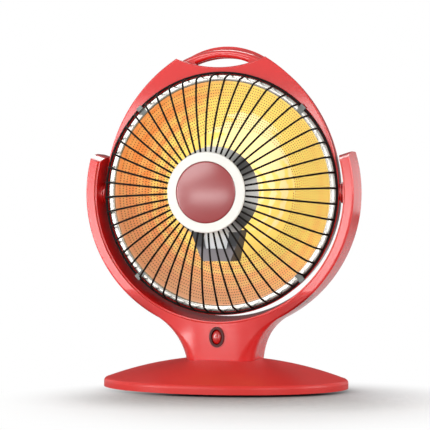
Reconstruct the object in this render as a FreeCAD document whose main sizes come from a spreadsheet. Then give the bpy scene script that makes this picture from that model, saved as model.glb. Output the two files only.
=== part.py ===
"""Desk radiant heater: oval base, forked stand, tilting dish head with a wire guard."""

import FreeCAD, Part
import math
import os
import Sketcher
from FreeCAD import Matrix, Placement, Rotation, Vector

# Driving dimensions in millimetres and degrees
DIMENSIONS = (
    # Pivot of the head
    ("pivot_forward", 9.0),
    ("yoke_lift", 57.7),
    # Base
    ("base_half_width", 125.5),
    ("base_half_depth", 93.0),
    ("base_rim_height", 7.2),
    ("base_edge_inset", 3.5),
    ("base_edge_height", 11.2),
    ("base_crown_height", 32.6),
    ("base_wall", 2.8),
    ("foot_height", 2.0),
    ("foot_radius", 8.0),
    ("foot_taper", 0.6),
    ("foot_spread", 85.0),
    ("foot_reach", 45.0),
    ("plate_thickness", 2.4),
    ("plate_gap", 0.3),
    ("plate_boss_spread", 62.0),
    ("plate_boss_reach", 50.0),
    ("plate_boss_radius", 4.0),
    ("ballast_half_width", 70.0),
    ("ballast_inset", 53.0),
    ("ballast_thickness", 5.0),
    ("ballast_hole", 9.0),
    # Yoke and neck
    ("yoke_outer_radius", 139.3),
    ("arm_thickness", 10.8),
    ("arm_end_angle", 17.0),
    ("arm_front_lead", 20.0),
    ("arm_rear_lag", 18.0),
    ("arm_edge_round", 2.0),
    ("arm_inner_fall", 4.2),
    ("arm_end_drop", 6.5),
    ("pivot_pad", 3.5),
    ("yoke_wall", 2.2),
    ("neck_wall", 2.6),
    ("neck_half_width", 35.0),
    ("neck_flare_radius", 60.0),
    ("neck_sink", 7.6),
    ("neck_rear_reach", 31.0),
    ("neck_foot_corner", 16.0),
    ("neck_top_corner", 2.2),
    ("neck_floor", 3.0),
    ("socket_floor", 3.0),
    ("socket_wall", 2.6),
    ("socket_gap", 0.15),
    ("cover_top_height", 66.0),
    ("neck_screw_spread", 19.0),
    ("neck_screw_front", 19.0),
    ("neck_screw_rear", 15.0),
    ("wire_hole_radius", 6.0),
    ("yoke_screw_seat", 13.0),
    ("arm_screw_angle", 10.5),
    ("top_screw_spread", 38.0),
    ("top_screw_drop", 3.5),
    ("low_screw_spread", 24.0),
    ("low_screw_lift", 12.0),
    # Cord grommet
    ("grommet_height", 46.0),
    ("grommet_bore", 3.3),
    ("grommet_seat", 5.4),
    ("grommet_flange", 7.6),
    ("grommet_boss", 9.5),
    ("grommet_boss_root", 8.0),
    ("grommet_boss_reach", 30.0),
    ("grommet_length", 13.0),
    ("grommet_lip", 2.0),
    ("grommet_taper", 0.8),
    # Switch
    ("switch_height", 53.5),
    ("switch_half_width", 7.6),
    ("switch_half_height", 10.2),
    ("switch_rim_proud", 1.8),
    ("switch_lip", 0.9),
    ("switch_body_depth", 19.0),
    ("rocker_half_width", 5.0),
    ("rocker_half_height", 7.2),
    ("rocker_gap", 0.5),
    ("rocker_depth", 6.4),
    ("rocker_pocket", 7.4),
    ("rocker_crown_radius", 11.0),
    ("rocker_pin_radius", 1.0),
    ("rocker_lean", 7.0),
    ("rocker_pin_depth", 1.0),
    ("rocker_pin_end", 0.7),
    ("rocker_rear", 2.2),
    ("blade_width", 4.8),
    ("blade_length", 8.0),
    ("blade_sheet", 0.8),
    ("blade_pitch", 5.16),
    # Tip-over switch
    ("tip_inset", 41.0),
    ("plunger_radius", 4.0),
    ("plunger_flange", 6.0),
    ("plunger_flange_height", 8.8),
    ("plunger_top", 11.6),
    ("tip_body_length", 20.0),
    ("tip_body_depth", 9.0),
    ("tip_body_height", 5.4),
    ("tip_leg_width", 2.4),
    ("plunger_chamfer", 1.0),
    ("plunger_flange_thickness", 1.5),
    ("plunger_pin", 2.0),
    ("terminal_length", 30.0),
    ("terminal_depth", 12.0),
    ("terminal_height", 9.0),
    ("terminal_aside", 42.0),
    ("terminal_inset", 41.0),
    ("terminal_way_radius", 1.8),
    ("terminal_way_pitch", 10.0),
    # Bezel, hood and handle, from the pivot
    ("head_gap", 6.0),
    ("bezel_lead", 9.0),
    ("bezel_depth", 20.0),
    ("bezel_draft", 8.0),
    ("bezel_wall", 2.6),
    ("bezel_lip", 7.2),
    ("hood_shoulder_spread", 46.4),
    ("hood_shoulder_rise", 13.7),
    ("hood_dip_rise", 4.0),
    ("bezel_edge", 1.2),
    ("handle_edge", 3.4),
    ("handle_set_back", 5.0),
    ("handle_spread", 44.5),
    ("handle_root_rise", 10.5),
    ("handle_rise", 11.2),
    ("handle_hole_spread", 28.0),
    ("handle_hole_drop", 2.5),
    ("handle_grip", 7.7),
    ("handle_sink", 5.0),
    ("handle_bar", 5.0),
    ("handle_flare_spread", 34.0),
    ("handle_lip", 1.0),
    ("trunnion_radius", 10.5),
    ("trunnion_neck", 8.5),
    ("journal_radius", 6.0),
    ("journal_flange", 8.4),
    ("journal_bore", 3.2),
    ("running_gap", 0.06),
    ("trunnion_gap", 0.8),
    ("journal_groove", 1.2),
    ("journal_flange_thickness", 1.6),
    ("washer_thickness", 0.9),
    # Rear shell
    ("rear_flange_thickness", 2.5),
    ("rear_bow_rise", 4.4),
    ("bowl_inset", 11.0),
    ("bowl_back_radius", 60.0),
    ("back_room", 24.0),
    ("bowl_bulge_radius", 92.0),
    ("rear_wall", 2.2),
    ("vent_count", 24.0),
    ("vent_width", 4.0),
    ("vent_start", 10.0),
    ("vent_rim", 15.5),
    ("vent_root", 6.0),
    ("rear_lens_drop", 1.5),
    ("rear_lens_sag", 5.0),
    # Reflector dish
    ("dish_flange_inset", 3.5),
    ("dish_flange_width", 6.6),
    ("dish_flange_lead", 8.55),
    ("dish_step", 1.8),
    ("dish_reach", 46.0),
    ("dish_sheet", 0.6),
    ("dish_lip", 0.6),
    ("lead_hole_drop", 53.0),
    ("lead_hole_radius", 3.5),
    ("lead_radius", 1.0),
    # Guard
    ("guard_inset", 2.05),
    ("guard_rim_wire", 1.15),
    ("guard_rim_gap", 0.05),
    ("guard_wire", 1.0),
    ("guard_wire_count", 48.0),
    ("guard_wire_phase", -2.0),
    ("guard_depth", 43.45),
    ("guard_rise_angle", 72.0),
    ("guard_shoulder_angle", 33.0),
    ("guard_hub_angle", 3.0),
    ("guard_shoulder_bend", 7.0),
    ("hub_ring_radius", 38.0),
    ("hub_ring_wire", 1.4),
    ("hub_overhang", 1.75),
    ("hub_thickness", 3.2),
    ("hub_border", 9.45),
    ("cap_recess", 1.0),
    ("cap_dome", 4.6),
    ("cap_skirt", 1.2),
    ("hub_bore", 2.05),
    ("hub_pilot_depth", 1.6),
    ("hub_edge", 1.2),
    ("hub_back_edge", 1.0),
    ("clamp_boss", 8.0),
    ("clamp_sheet", 1.0),
    ("hub_screw_head", 4.0),
    ("hub_screw_crown", 3.4),
    ("clip_width", 6.0),
    ("clip_angle", 45.5),
    ("clip_sheet", 0.6),
    ("clip_toe", 0.9),
    # Lamp, shield and bracket
    ("lamp_lead", 14.0),
    ("lamp_bend", 18.0),
    ("lamp_tube_radius", 5.0),
    ("lamp_tube_wall", 1.0),
    ("lamp_leg_drop", 36.0),
    ("lamp_cap_drop", 42.5),
    ("lamp_cap_radius", 5.8),
    ("filament_radius", 1.2),
    ("shield_radius", 46.0),
    ("shield_flat", 34.0),
    ("shield_lead", 35.0),
    ("shield_turn", 5.0),
    ("shield_sheet", 0.8),
    ("shield_foot_drop", 39.0),
    ("bracket_top_half", 29.5),
    ("bracket_foot_half", 17.5),
    ("bracket_top_drop", 37.0),
    ("bracket_foot_drop", 68.0),
    ("bracket_sheet", 0.8),
    ("bracket_sill", 13.0),
    ("window_top_half", 13.0),
    ("window_foot_half", 9.0),
    ("holder_half_width", 17.6),
    ("holder_drop", 60.0),
    ("holder_depth", 16.0),
    ("strap_width", 5.5),
    ("strap_spread", 16.4),
    ("strap_drop", 27.0),
    ("strap_lap", 12.0),
    ("cutout_radius", 8.0),
    ("cutout_height", 9.0),
    ("cutout_tab_sheet", 0.8),
    ("cutout_tab_length", 7.0),
    ("cutout_tab_width", 6.0),
    ("cutout_tab_spread", 4.5),
    # Fasteners
    ("screw_head", 3.4),
    ("screw_head_height", 2.0),
    ("screw_hole", 2.0),
    ("screw_neck", 1.7),
    ("screw_pilot", 1.5),
    ("base_screw_length", 8.0),
    ("neck_screw_length", 9.0),
    ("yoke_screw_head", 2.5),
    ("yoke_screw_shank", 1.4),
    ("yoke_screw_boss", 3.6),
    ("yoke_screw_length", 18.0),
    ("head_screw_head", 2.2),
    ("head_screw_head_height", 1.6),
    ("head_screw_shank", 1.05),
    ("head_screw_length", 11.0),
    ("head_screw_boss", 2.3),
    ("head_screw_inset", 5.2),
    ("hood_screw_inset", 1.25),
    ("hood_screw_angle", 54.74),
)

# Sizes that follow another one: name, the size it starts from, sign and step
FOLLOWING = (
    ("pivot_height", "yoke_outer_radius", 1.0, "yoke_lift"),
    ("neck_foot_height", "base_crown_height", -1.0, "neck_sink"),
    ("ballast_half_depth", "base_half_depth", -1.0, "ballast_inset"),
    ("tip_set_back", "base_half_depth", -1.0, "tip_inset"),
    ("terminal_set_back", "base_half_depth", -1.0, "terminal_inset"),
    ("yoke_inner_radius", "yoke_outer_radius", -1.0, "arm_thickness"),
    ("bezel_radius", "yoke_inner_radius", -1.0, "head_gap"),
    ("bezel_opening", "bezel_radius", -1.0, "bezel_lip"),
    ("hood_shoulder_height", "bezel_radius", 1.0, "hood_shoulder_rise"),
    ("hood_dip_height", "bezel_radius", 1.0, "hood_dip_rise"),
    ("handle_root_height", "bezel_radius", 1.0, "handle_root_rise"),
    ("handle_top_height", "handle_root_height", 1.0, "handle_rise"),
    ("handle_hole_corner", "handle_root_height", -1.0, "handle_hole_drop"),
    ("handle_hole_height", "handle_top_height", -1.0, "handle_grip"),
    ("rear_bow_height", "handle_top_height", 1.0, "rear_bow_rise"),
    ("bowl_mouth_radius", "bezel_radius", -1.0, "bowl_inset"),
    ("bowl_back_reach", "dish_reach", 1.0, "back_room"),
    ("vent_inner", "bowl_back_radius", 1.0, "vent_start"),
    ("vent_outer", "bowl_mouth_radius", -1.0, "vent_rim"),
    ("dish_flange_radius", "bezel_radius", -1.0, "dish_flange_inset"),
    ("dish_mouth_radius", "dish_flange_radius", -1.0, "dish_flange_width"),
    ("guard_radius", "bezel_radius", -1.0, "guard_inset"),
    ("hub_radius", "hub_ring_radius", 1.0, "hub_overhang"),
    ("cap_radius", "hub_radius", -1.0, "hub_border"),
    ("head_screw_ring", "bezel_radius", -1.0, "head_screw_inset"),
    ("hood_screw_ring", "bezel_radius", -1.0, "hood_screw_inset"),
)
FOLLOWS = {name: (start, sign, step) for name, start, sign, step in FOLLOWING}

doc = FreeCAD.newDocument("dish_heater")
sheet = doc.addObject("Spreadsheet::Sheet", "dims")
for row, (alias, number) in enumerate(DIMENSIONS, start=1):
    sheet.set(f"A{row}", alias)
    sheet.set(f"B{row}", str(number))
    sheet.setAlias(f"B{row}", alias)
doc.recompute()


class Size:
    """A dimension that knows its formula in the sheet and its present value."""

    def __init__(self, text, value):
        self.text = text
        self.value = float(value)

    @staticmethod
    def of(item):
        """Takes a plain number as a size, and a size as it is."""
        return item if isinstance(item, Size) else Size(repr(float(item)), item)

    def join(self, sign, other, value):
        """Writes the formula of two sizes joined by an operator."""
        return Size(f"({self.text} {sign} {other.text})", value)

    def __add__(self, other):
        other = Size.of(other)
        return self.join("+", other, self.value + other.value)

    def __sub__(self, other):
        other = Size.of(other)
        return self.join("-", other, self.value - other.value)

    def __mul__(self, other):
        other = Size.of(other)
        return self.join("*", other, self.value * other.value)

    def __truediv__(self, other):
        other = Size.of(other)
        return self.join("/", other, self.value / other.value)

    def __neg__(self):
        return Size(f"(-1 * {self.text})", -self.value)

    __radd__ = __add__

    def __rsub__(self, other):
        return Size.of(other) - self

    __rmul__ = __mul__


def size(alias):
    """Gives a dimension as a bound size, worked out from the ones it follows."""
    if alias in FOLLOWS:
        start, sign, step = FOLLOWS[alias]
        return size(start) + size(step) * sign
    return Size(f"dims.{alias}", sheet.get(alias))


def mm(alias):
    """Gives the present value of a dimension."""
    return size(alias).value


def bind(item, path, wanted):
    """Binds one property of an object to a size."""
    item.setExpression(path, Size.of(wanted).text)


def place(item, x=0.0, y=0.0, z=0.0, turn=None):
    """Puts an object at a bound place, turned about its own start."""
    if turn is not None:
        item.Placement = Placement(Vector(), turn)
    for axis, wanted in (("x", x), ("y", y), ("z", z)):
        bind(item, f".Placement.Base.{axis}", wanted)
    return item


def on_head(item):
    """Carries an object modelled about the pivot to the pivot's place on the stand."""
    return place(item, 0.0, -size("pivot_forward"), size("pivot_height"))


ALONG_BACK = Rotation(Vector(1, 0, 0), -90)
ALONG_RIGHT = Rotation(Vector(0, 1, 0), 90)

# Fits between pieces, and how far a cutting tool runs clear of what it cuts
TOUCH = 0.05
DROP_IN = 0.3
HEAD_ROOM = 0.2
SPARE_DEPTH = 0.5
CLEAR = 1.0
THROUGH = 60.0
FAR = 300.0
ON_FACE = 1e-4


def cylinder(name, radius, height, x=0.0, y=0.0, z=0.0, turn=None):
    """Makes a bound cylinder that starts at a point and runs along its turned axis."""
    item = doc.addObject("Part::Cylinder", name)
    bind(item, "Radius", radius)
    bind(item, "Height", height)
    return place(item, x, y, z, turn)


def box(name, wide, deep, tall, x, y, z):
    """Makes a bound box centred across the width and the depth, standing on z."""
    item = doc.addObject("Part::Box", name)
    wide, deep = Size.of(wide), Size.of(deep)
    bind(item, "Length", wide)
    bind(item, "Width", deep)
    bind(item, "Height", tall)
    return place(item, x - wide / 2.0, y - deep / 2.0, z)


def oval(name, half_x, half_other, thick, x=0.0, y=0.0, z=0.0, turn=None):
    """Makes a bound oval plate, its longer half-axis given first."""
    edge = doc.addObject("Part::Ellipse", f"{name}_edge")
    bind(edge, "MajorRadius", half_x)
    bind(edge, "MinorRadius", half_other)
    item = doc.addObject("Part::Extrusion", name)
    item.Base = edge
    item.DirMode = "Custom"
    item.Dir = Vector(0, 0, 1)
    bind(item, "LengthFwd", thick)
    item.Solid = True
    return place(item, x, y, z, turn)


def cut(name, base, *tools):
    """Cuts tools from a base, one after the other where there are many."""
    item = doc.addObject("Part::Cut", name)
    item.Base = base
    item.Tool = tools[0] if len(tools) == 1 else fuse(f"{name}_tools", *tools)
    return item


def fuse(name, *shapes):
    """Joins shapes into one."""
    item = doc.addObject("Part::MultiFuse", name)
    item.Shapes = list(shapes)
    item.Refine = True
    return item


def common(name, *shapes):
    """Keeps what shapes share."""
    item = doc.addObject("Part::MultiCommon", name)
    item.Shapes = list(shapes)
    return item


def group(name, *shapes):
    """Gathers separate solids as one node."""
    item = doc.addObject("Part::Compound", name)
    item.Links = list(shapes)
    return item


def solid(name, shape):
    """Keeps a shape made with the kernel's own functions."""
    item = doc.addObject("Part::Feature", name)
    item.Shape = shape
    return item


def new_body(name):
    """Starts a body with its own origin."""
    return doc.addObject("PartDesign::Body", name)


def sketch_on(body, name, role, lift=None):
    """Starts a sketch on one of the body's own planes, lifted along its normal."""
    item = body.newObject("Sketcher::SketchObject", name)
    plane = next(part for part in body.Origin.OriginFeatures if part.Role == role)
    item.AttachmentSupport = [(plane, "")]
    item.MapMode = "FlatFace"
    if lift is not None:
        bind(item, ".AttachmentOffset.Base.z", lift)
    return item


def arc_centre(start, end, radius, turn):
    """Gives the centre of the short arc between two points."""
    chord = end - start
    rise = math.sqrt(max(0.0, radius ** 2 - chord.Length ** 2 / 4.0))
    left = Vector(-chord.y, chord.x, 0.0) / chord.Length
    return (start + end) * 0.5 + left * (rise * turn)


def pin(sketch, edge, end, x, y):
    """Holds one point of a sketch at bound coordinates."""
    for kind, wanted, axis in (("DistanceX", x, -2), ("DistanceY", y, -1)):
        wanted = Size.of(wanted)
        if wanted.text == "0.0":
            sketch.addConstraint(Sketcher.Constraint("PointOnObject", edge, end, axis))
            continue
        index = sketch.addConstraint(Sketcher.Constraint(kind, edge, end, wanted.value))
        bind(sketch, f"Constraints[{index}]", wanted)


def outline(sketch, corners):
    """Draws a closed outline; a corner may carry the arc that leaves it.

    Each corner is x, y and, where an arc follows, its radius and its turn:
    1 for anticlockwise and -1 for clockwise.
    """
    ends = []
    for index, corner in enumerate(corners):
        after = corners[(index + 1) % len(corners)]
        start = Vector(Size.of(corner[0]).value, Size.of(corner[1]).value, 0.0)
        end = Vector(Size.of(after[0]).value, Size.of(after[1]).value, 0.0)
        if len(corner) == 2:
            edge = sketch.addGeometry(Part.LineSegment(start, end))
            ends.append((edge, 1, 2))
            continue
        radius, turn = Size.of(corner[2]), corner[3]
        centre = arc_centre(start, end, radius.value, turn)
        first, last = (start, end) if turn > 0 else (end, start)
        begin = math.atan2(first.y - centre.y, first.x - centre.x)
        finish = math.atan2(last.y - centre.y, last.x - centre.x)
        if finish <= begin:
            finish += 2.0 * math.pi
        circle = Part.Circle(centre, Vector(0, 0, 1), radius.value)
        edge = sketch.addGeometry(Part.ArcOfCircle(circle, begin, finish))
        ends.append((edge, 1, 2) if turn > 0 else (edge, 2, 1))
    for index, (edge, start, end) in enumerate(ends):
        after = ends[(index + 1) % len(ends)]
        sketch.addConstraint(Sketcher.Constraint("Coincident", edge, end, after[0], after[1]))
    for (edge, start, end), corner in zip(ends, corners):
        pin(sketch, edge, start, corner[0], corner[1])
        if len(corner) > 2:
            radius = Size.of(corner[2])
            index = sketch.addConstraint(Sketcher.Constraint("Radius", edge, radius.value))
            bind(sketch, f"Constraints[{index}]", radius)
    return sketch


def ring(sketch, x, y, radius):
    """Draws a bound circle."""
    radius = Size.of(radius)
    centre = Vector(Size.of(x).value, Size.of(y).value, 0.0)
    edge = sketch.addGeometry(Part.Circle(centre, Vector(0, 0, 1), radius.value))
    pin(sketch, edge, 3, x, y)
    index = sketch.addConstraint(Sketcher.Constraint("Radius", edge, radius.value))
    bind(sketch, f"Constraints[{index}]", radius)
    return sketch


def extrude(body, kind, name, profile, length, back=False, both=False, draft=None):
    """Adds a pad or a pocket of bound length."""
    item = body.newObject(f"PartDesign::{kind}", name)
    item.Profile = profile
    bind(item, "Length", length)
    item.Reversed = back
    item.Midplane = both
    if draft is not None:
        bind(item, "TaperAngle", draft)
    profile.Visibility = False
    return item


def revolve(body, name, profile, axis="V_Axis", kind="Revolution"):
    """Adds a full turn of a profile about an axis of its sketch."""
    item = body.newObject(f"PartDesign::{kind}", name)
    item.Profile = profile
    item.ReferenceAxis = (profile, [axis])
    item.Angle = 360.0
    profile.Visibility = False
    return item


def soften(body, name, test, radius):
    """Rounds the edges of the body so far that pass a test."""
    base = body.Tip
    item = body.newObject("PartDesign::Fillet", name)
    item.Base = (base, edge_names(base.Shape, test))
    bind(item, "Radius", radius)
    return item


def edge_names(shape, test):
    """Names the edges whose ends and middle all pass a test."""
    found = []
    for index, edge in enumerate(shape.Edges, start=1):
        points = [vertex.Point for vertex in edge.Vertexes]
        points.append(edge.valueAt((edge.FirstParameter + edge.LastParameter) / 2.0))
        if all(test(point) for point in points):
            found.append(f"Edge{index}")
    return found


def turned(name, corners):
    """Makes a body turned about the head's axis from corners given as radius and depth."""
    body = new_body(name)
    profile = outline(sketch_on(body, f"{name}_profile", "XY_Plane"), corners)
    revolve(body, f"{name}_turn", profile)
    return body


def copies(shape, count, step, centre, axis):
    """Repeats a shape round an axis."""
    made = []
    for index in range(count):
        twin = shape.copy()
        twin.rotate(centre, axis, index * step)
        made.append(twin)
    return made


def chord_radius(half_chord, rise):
    """Gives the radius of an arc from half its chord and its rise."""
    return (half_chord * half_chord + rise * rise) / (2.0 * rise)


def flat_wire(corners):
    """Makes a closed wire in the ground plane from the same corners as an outline."""
    edges = []
    for index, corner in enumerate(corners):
        after = corners[(index + 1) % len(corners)]
        start = Vector(corner[0], corner[1], 0.0)
        end = Vector(after[0], after[1], 0.0)
        if len(corner) == 2:
            edges.append(Part.LineSegment(start, end).toShape())
            continue
        radius, turn = corner[2], corner[3]
        centre = arc_centre(start, end, radius, turn)
        middle = (start + end) * 0.5 - centre
        if middle.Length < 1e-6:
            middle = Vector(end.y - start.y, start.x - end.x, 0.0) * turn
        middle = centre + middle.normalize() * radius
        edges.append(Part.Arc(start, middle, end).toShape())
    return Part.Wire(edges)


def upright(corners):
    """Makes a face that stands in the plane across the object, facing the front."""
    face = Part.Face(flat_wire(corners))
    face.rotate(Vector(), Vector(1, 0, 0), 90)
    return face


def fused(shapes):
    """Joins kernel shapes and drops the seams between faces of one surface."""
    first, *others = shapes
    return first.multiFuse(others).removeSplitter()


def rod(radius, start, end):
    """Makes a kernel cylinder between two points."""
    run = end - start
    return Part.makeCylinder(radius, run.Length, start, run)


# Base

FOUR_CORNERS = ((-1, -1), (-1, 1), (1, -1), (1, 1))
RIM_SHARE = 0.6
LEAST_CORNER = 0.4


def dome(inset, floor):
    """Makes the oval dome, all its faces set in by the same amount."""
    half = mm("base_half_width") - inset
    edge = half - mm("base_edge_inset")
    edge_height = mm("base_edge_height") - inset
    rim = mm("base_rim_height") - RIM_SHARE * inset
    crown = mm("base_crown_height") - inset
    round_radius = chord_radius(edge_height - rim, half - edge)
    dome_radius = chord_radius(edge, crown - edge_height)
    face = upright((
        (0.0, floor),
        (half, floor),
        (half, rim, round_radius, 1),
        (edge, edge_height, dome_radius, 1),
        (0.0, crown),
    ))
    turned_dome = face.revolve(Vector(), Vector(0, 0, 1), 360)
    squeeze = Matrix()
    squeeze.scale(Vector(1.0, mm("base_half_depth") / mm("base_half_width"), 1.0))
    return turned_dome.transformGeometry(squeeze)


def rounded_plate(half_width, front, rear, corner, height):
    """Makes a rounded rectangular wire at a height, front and rear given as depths."""
    corners = (
        (-half_width + corner, front),
        (half_width - corner, front, corner, 1),
        (half_width, front + corner),
        (half_width, rear - corner, corner, 1),
        (half_width - corner, rear),
        (-half_width + corner, rear, corner, 1),
        (-half_width, rear - corner),
        (-half_width, front + corner, corner, 1),
    )
    wire = flat_wire(corners)
    wire.translate(Vector(0, 0, height))
    return wire


def neck_section(height, inset):
    """Gives the neck's wire at a height, set in by the wall where it is the hollow."""
    flare = mm("neck_flare_radius")
    centre = mm("neck_half_width") + flare
    reach = mm("yoke_outer_radius") - FLARE_BITE + flare
    drop = math.sqrt(reach ** 2 - centre ** 2)
    above = max(0.0, height - mm("pivot_height") + drop)
    half = centre - math.sqrt(flare ** 2 - min(above, flare) ** 2)
    top = neck_top()
    share = (top - height) / (top - mm("neck_foot_height"))
    share = min(1.0, max(0.0, share))
    smooth = share ** 2 * (3.0 - 2.0 * share)
    front = -mm("pivot_forward") - mm("arm_front_lead")
    top_rear = -mm("pivot_forward") + mm("arm_rear_lag")
    rear = top_rear + (mm("neck_rear_reach") - top_rear) * smooth
    corner = mm("neck_top_corner") + (mm("neck_foot_corner") - mm("neck_top_corner")) * share
    corner = max(LEAST_CORNER, corner - inset)
    return rounded_plate(half - inset, front + inset, rear - inset, corner, height)


def neck_top():
    """Gives the height where the neck's flare meets the arms."""
    flare = mm("neck_flare_radius")
    reach = mm("yoke_outer_radius") + flare
    drop = math.sqrt(reach ** 2 - (mm("neck_half_width") + flare) ** 2)
    return mm("pivot_height") - drop * mm("yoke_outer_radius") / reach


NECK_STEPS = 6
FLARE_BITE = 0.3


def neck_loft(inset, foot):
    """Lofts the neck from its foot up to the arms."""
    top = neck_top()
    levels = [foot + (top - foot) * step / NECK_STEPS for step in range(NECK_STEPS + 1)]
    return Part.makeLoft([neck_section(level, inset) for level in levels], True, False)


def build_base():
    """Makes the base shell with its socket, bottom plate, feet, ballast and screws."""
    floor = mm("foot_height")
    wall = mm("base_wall")
    foot = mm("neck_foot_height")
    outer = dome(0.0, floor)
    hollow = dome(wall, floor - CLEAR)
    socket_wire = neck_section(foot, -mm("socket_wall"))
    socket = Part.Face(socket_wire).extrude(Vector(0, 0, foot))
    socket.translate(Vector(0, 0, -mm("socket_floor")))
    bosses = [socket]
    plate_top = floor + mm("plate_thickness")
    spots = [Vector(sx * mm("plate_boss_spread"), sy * mm("plate_boss_reach"), 0.0)
             for sx, sy in FOUR_CORNERS]
    for spot in spots:
        start = spot + Vector(0, 0, plate_top)
        bosses.append(rod(mm("plate_boss_radius"), start, start + Vector(0, 0, foot)))
    shell = outer.cut(hollow)
    shell = fused([shell] + [boss.common(outer) for boss in bosses])
    tools = [neck_loft(-mm("socket_gap"), foot)]
    up = Vector(0, 0, 1)
    below = foot - mm("socket_floor") - CLEAR
    above = foot + CLEAR
    for spot in neck_screw_spots():
        tools.append(rod(mm("screw_hole"), spot + up * below, spot + up * above))
    tools.append(rod(mm("wire_hole_radius"), up * below, up * above))
    pilot_end = floor + mm("base_screw_length") + SPARE_DEPTH
    for spot in spots:
        tools.append(rod(mm("screw_pilot"), spot + up * (plate_top - CLEAR), spot + up * pilot_end))
    solid("base_top_shell", shell.cut(tools))

    half = size("base_half_width")
    depth = size("base_half_depth")
    inner_half = half - size("base_wall") - size("plate_gap")
    inner_depth = inner_half * (depth / half)
    blank = oval("bottom_blank", inner_half, inner_depth, size("plate_thickness"),
                 z=size("foot_height"))
    holes = []
    for number, (sx, sy) in enumerate(FOUR_CORNERS):
        holes.append(cylinder(f"plate_hole_{number}", size("screw_hole"), THROUGH,
                              size("plate_boss_spread") * sx, size("plate_boss_reach") * sy, 0.0))
    holes.append(cylinder("plunger_hole", size("plunger_radius") + DROP_IN, THROUGH,
                          0.0, size("tip_set_back"), 0.0))
    cut("base_bottom_plate", blank, *holes)

    feet = []
    for number, (sx, sy) in enumerate(FOUR_CORNERS):
        pad = doc.addObject("Part::Cone", f"foot_{number}")
        bind(pad, "Radius1", size("foot_radius") - size("foot_taper"))
        bind(pad, "Radius2", size("foot_radius"))
        bind(pad, "Height", size("foot_height"))
        feet.append(place(pad, size("foot_spread") * sx, size("foot_reach") * sy, 0.0))
    group("rubber_feet", *feet)

    weight = oval("ballast_blank", size("ballast_half_width"), size("ballast_half_depth"),
                  size("ballast_thickness"), z=size("foot_height") + size("plate_thickness"))
    weight_hole = cylinder("ballast_bore", size("ballast_hole"), THROUGH)
    cut("ballast_plate", weight, weight_hole)

    screws = []
    for spot in spots:
        crown = spot + up * (floor - mm("screw_head_height") + DROP_IN)
        seat = spot + up * floor
        screws.append(fused([rod(mm("screw_head"), crown, seat),
                             rod(mm("screw_neck"), seat, spot + up * plate_top),
                             rod(mm("screw_pilot") - TOUCH, seat,
                                 seat + up * mm("base_screw_length"))]))
    solid("base_screws", Part.makeCompound(screws))


def neck_screw_spots():
    """Gives the four places of the screws that hold the neck down."""
    spread = mm("neck_screw_spread")
    return [Vector(side * spread, depth, 0.0)
            for side in (-1, 1) for depth in (-mm("neck_screw_front"), mm("neck_screw_rear"))]


# Yoke


def turned_fork(corners, end_angle):
    """Turns a section of the fork about the pivot's level, from arm end to arm end."""
    centre = Vector(0, 0, mm("pivot_height"))
    back = Vector(0, 1, 0)
    section = Part.Face(flat_wire(corners))
    section.translate(centre)
    section.rotate(centre, back, -end_angle)
    return section.revolve(centre, back, 180.0 + 2.0 * end_angle)


def head_room(inner, front, rear, corner):
    """Makes the space for the head, which narrows to the rear and rounds the fork's inner edge."""
    narrow = inner - mm("arm_inner_fall")
    section = Part.Face(flat_wire((
        (0.0, front - corner),
        (inner + corner, front - corner),
        (inner + corner, front, corner, 1),
        (inner, front + corner),
        (narrow, rear - corner),
        (narrow, FAR),
        (0.0, FAR),
    )))
    centre = Vector(0, 0, mm("pivot_height"))
    section.translate(centre)
    return section.revolve(centre, Vector(0, 1, 0), 360.0)


def arm_end_wedges(inner, outer, front, parting):
    """Makes the two wedges that curve the arm ends down towards the front."""
    centre = Vector(0, 0, mm("pivot_height"))
    back = Vector(0, 1, 0)
    up = Vector(0, 0, 1)
    start = mm("arm_inner_fall") + CLEAR
    drop = mm("arm_end_drop")
    curve = ((parting - front) ** 2 + drop ** 2) / (2.0 * drop)
    root = centre + Vector(inner - start, parting, 0)

    def on_curve(reach):
        return root - back * reach - up * (curve - math.sqrt(curve ** 2 - reach ** 2))

    reach = parting - front + CLEAR
    end = on_curve(reach)
    over = root + up * CLEAR
    ahead = over - back * reach
    side = Part.Face(Part.Wire((
        Part.Arc(end, on_curve(reach / 2.0), root).toShape(),
        Part.LineSegment(root, over).toShape(),
        Part.LineSegment(over, ahead).toShape(),
        Part.LineSegment(ahead, end).toShape())))
    wedge = side.extrude(Vector(outer - inner + start + CLEAR, 0, 0))
    wedge.rotate(centre, back, -mm("arm_end_angle"))
    return [wedge, wedge.mirror(Vector(), Vector(1, 0, 0))]


SWITCH_HOLE_DEPTH = 12.0
BORE_STOP = 0.6


def yoke_screw_spots():
    """Gives the six places of the screws that close the yoke, across and up."""
    middle = (mm("yoke_outer_radius") + mm("yoke_inner_radius")) / 2.0
    lean = math.radians(mm("arm_screw_angle"))
    high = mm("pivot_height")
    places = ((middle * math.cos(lean), high + middle * math.sin(lean)),
              (mm("top_screw_spread"), neck_top() - mm("top_screw_drop")),
              (mm("low_screw_spread"), mm("neck_foot_height") + mm("low_screw_lift")))
    return [Vector(side * x, 0.0, z) for x, z in places for side in (-1, 1)]


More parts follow.
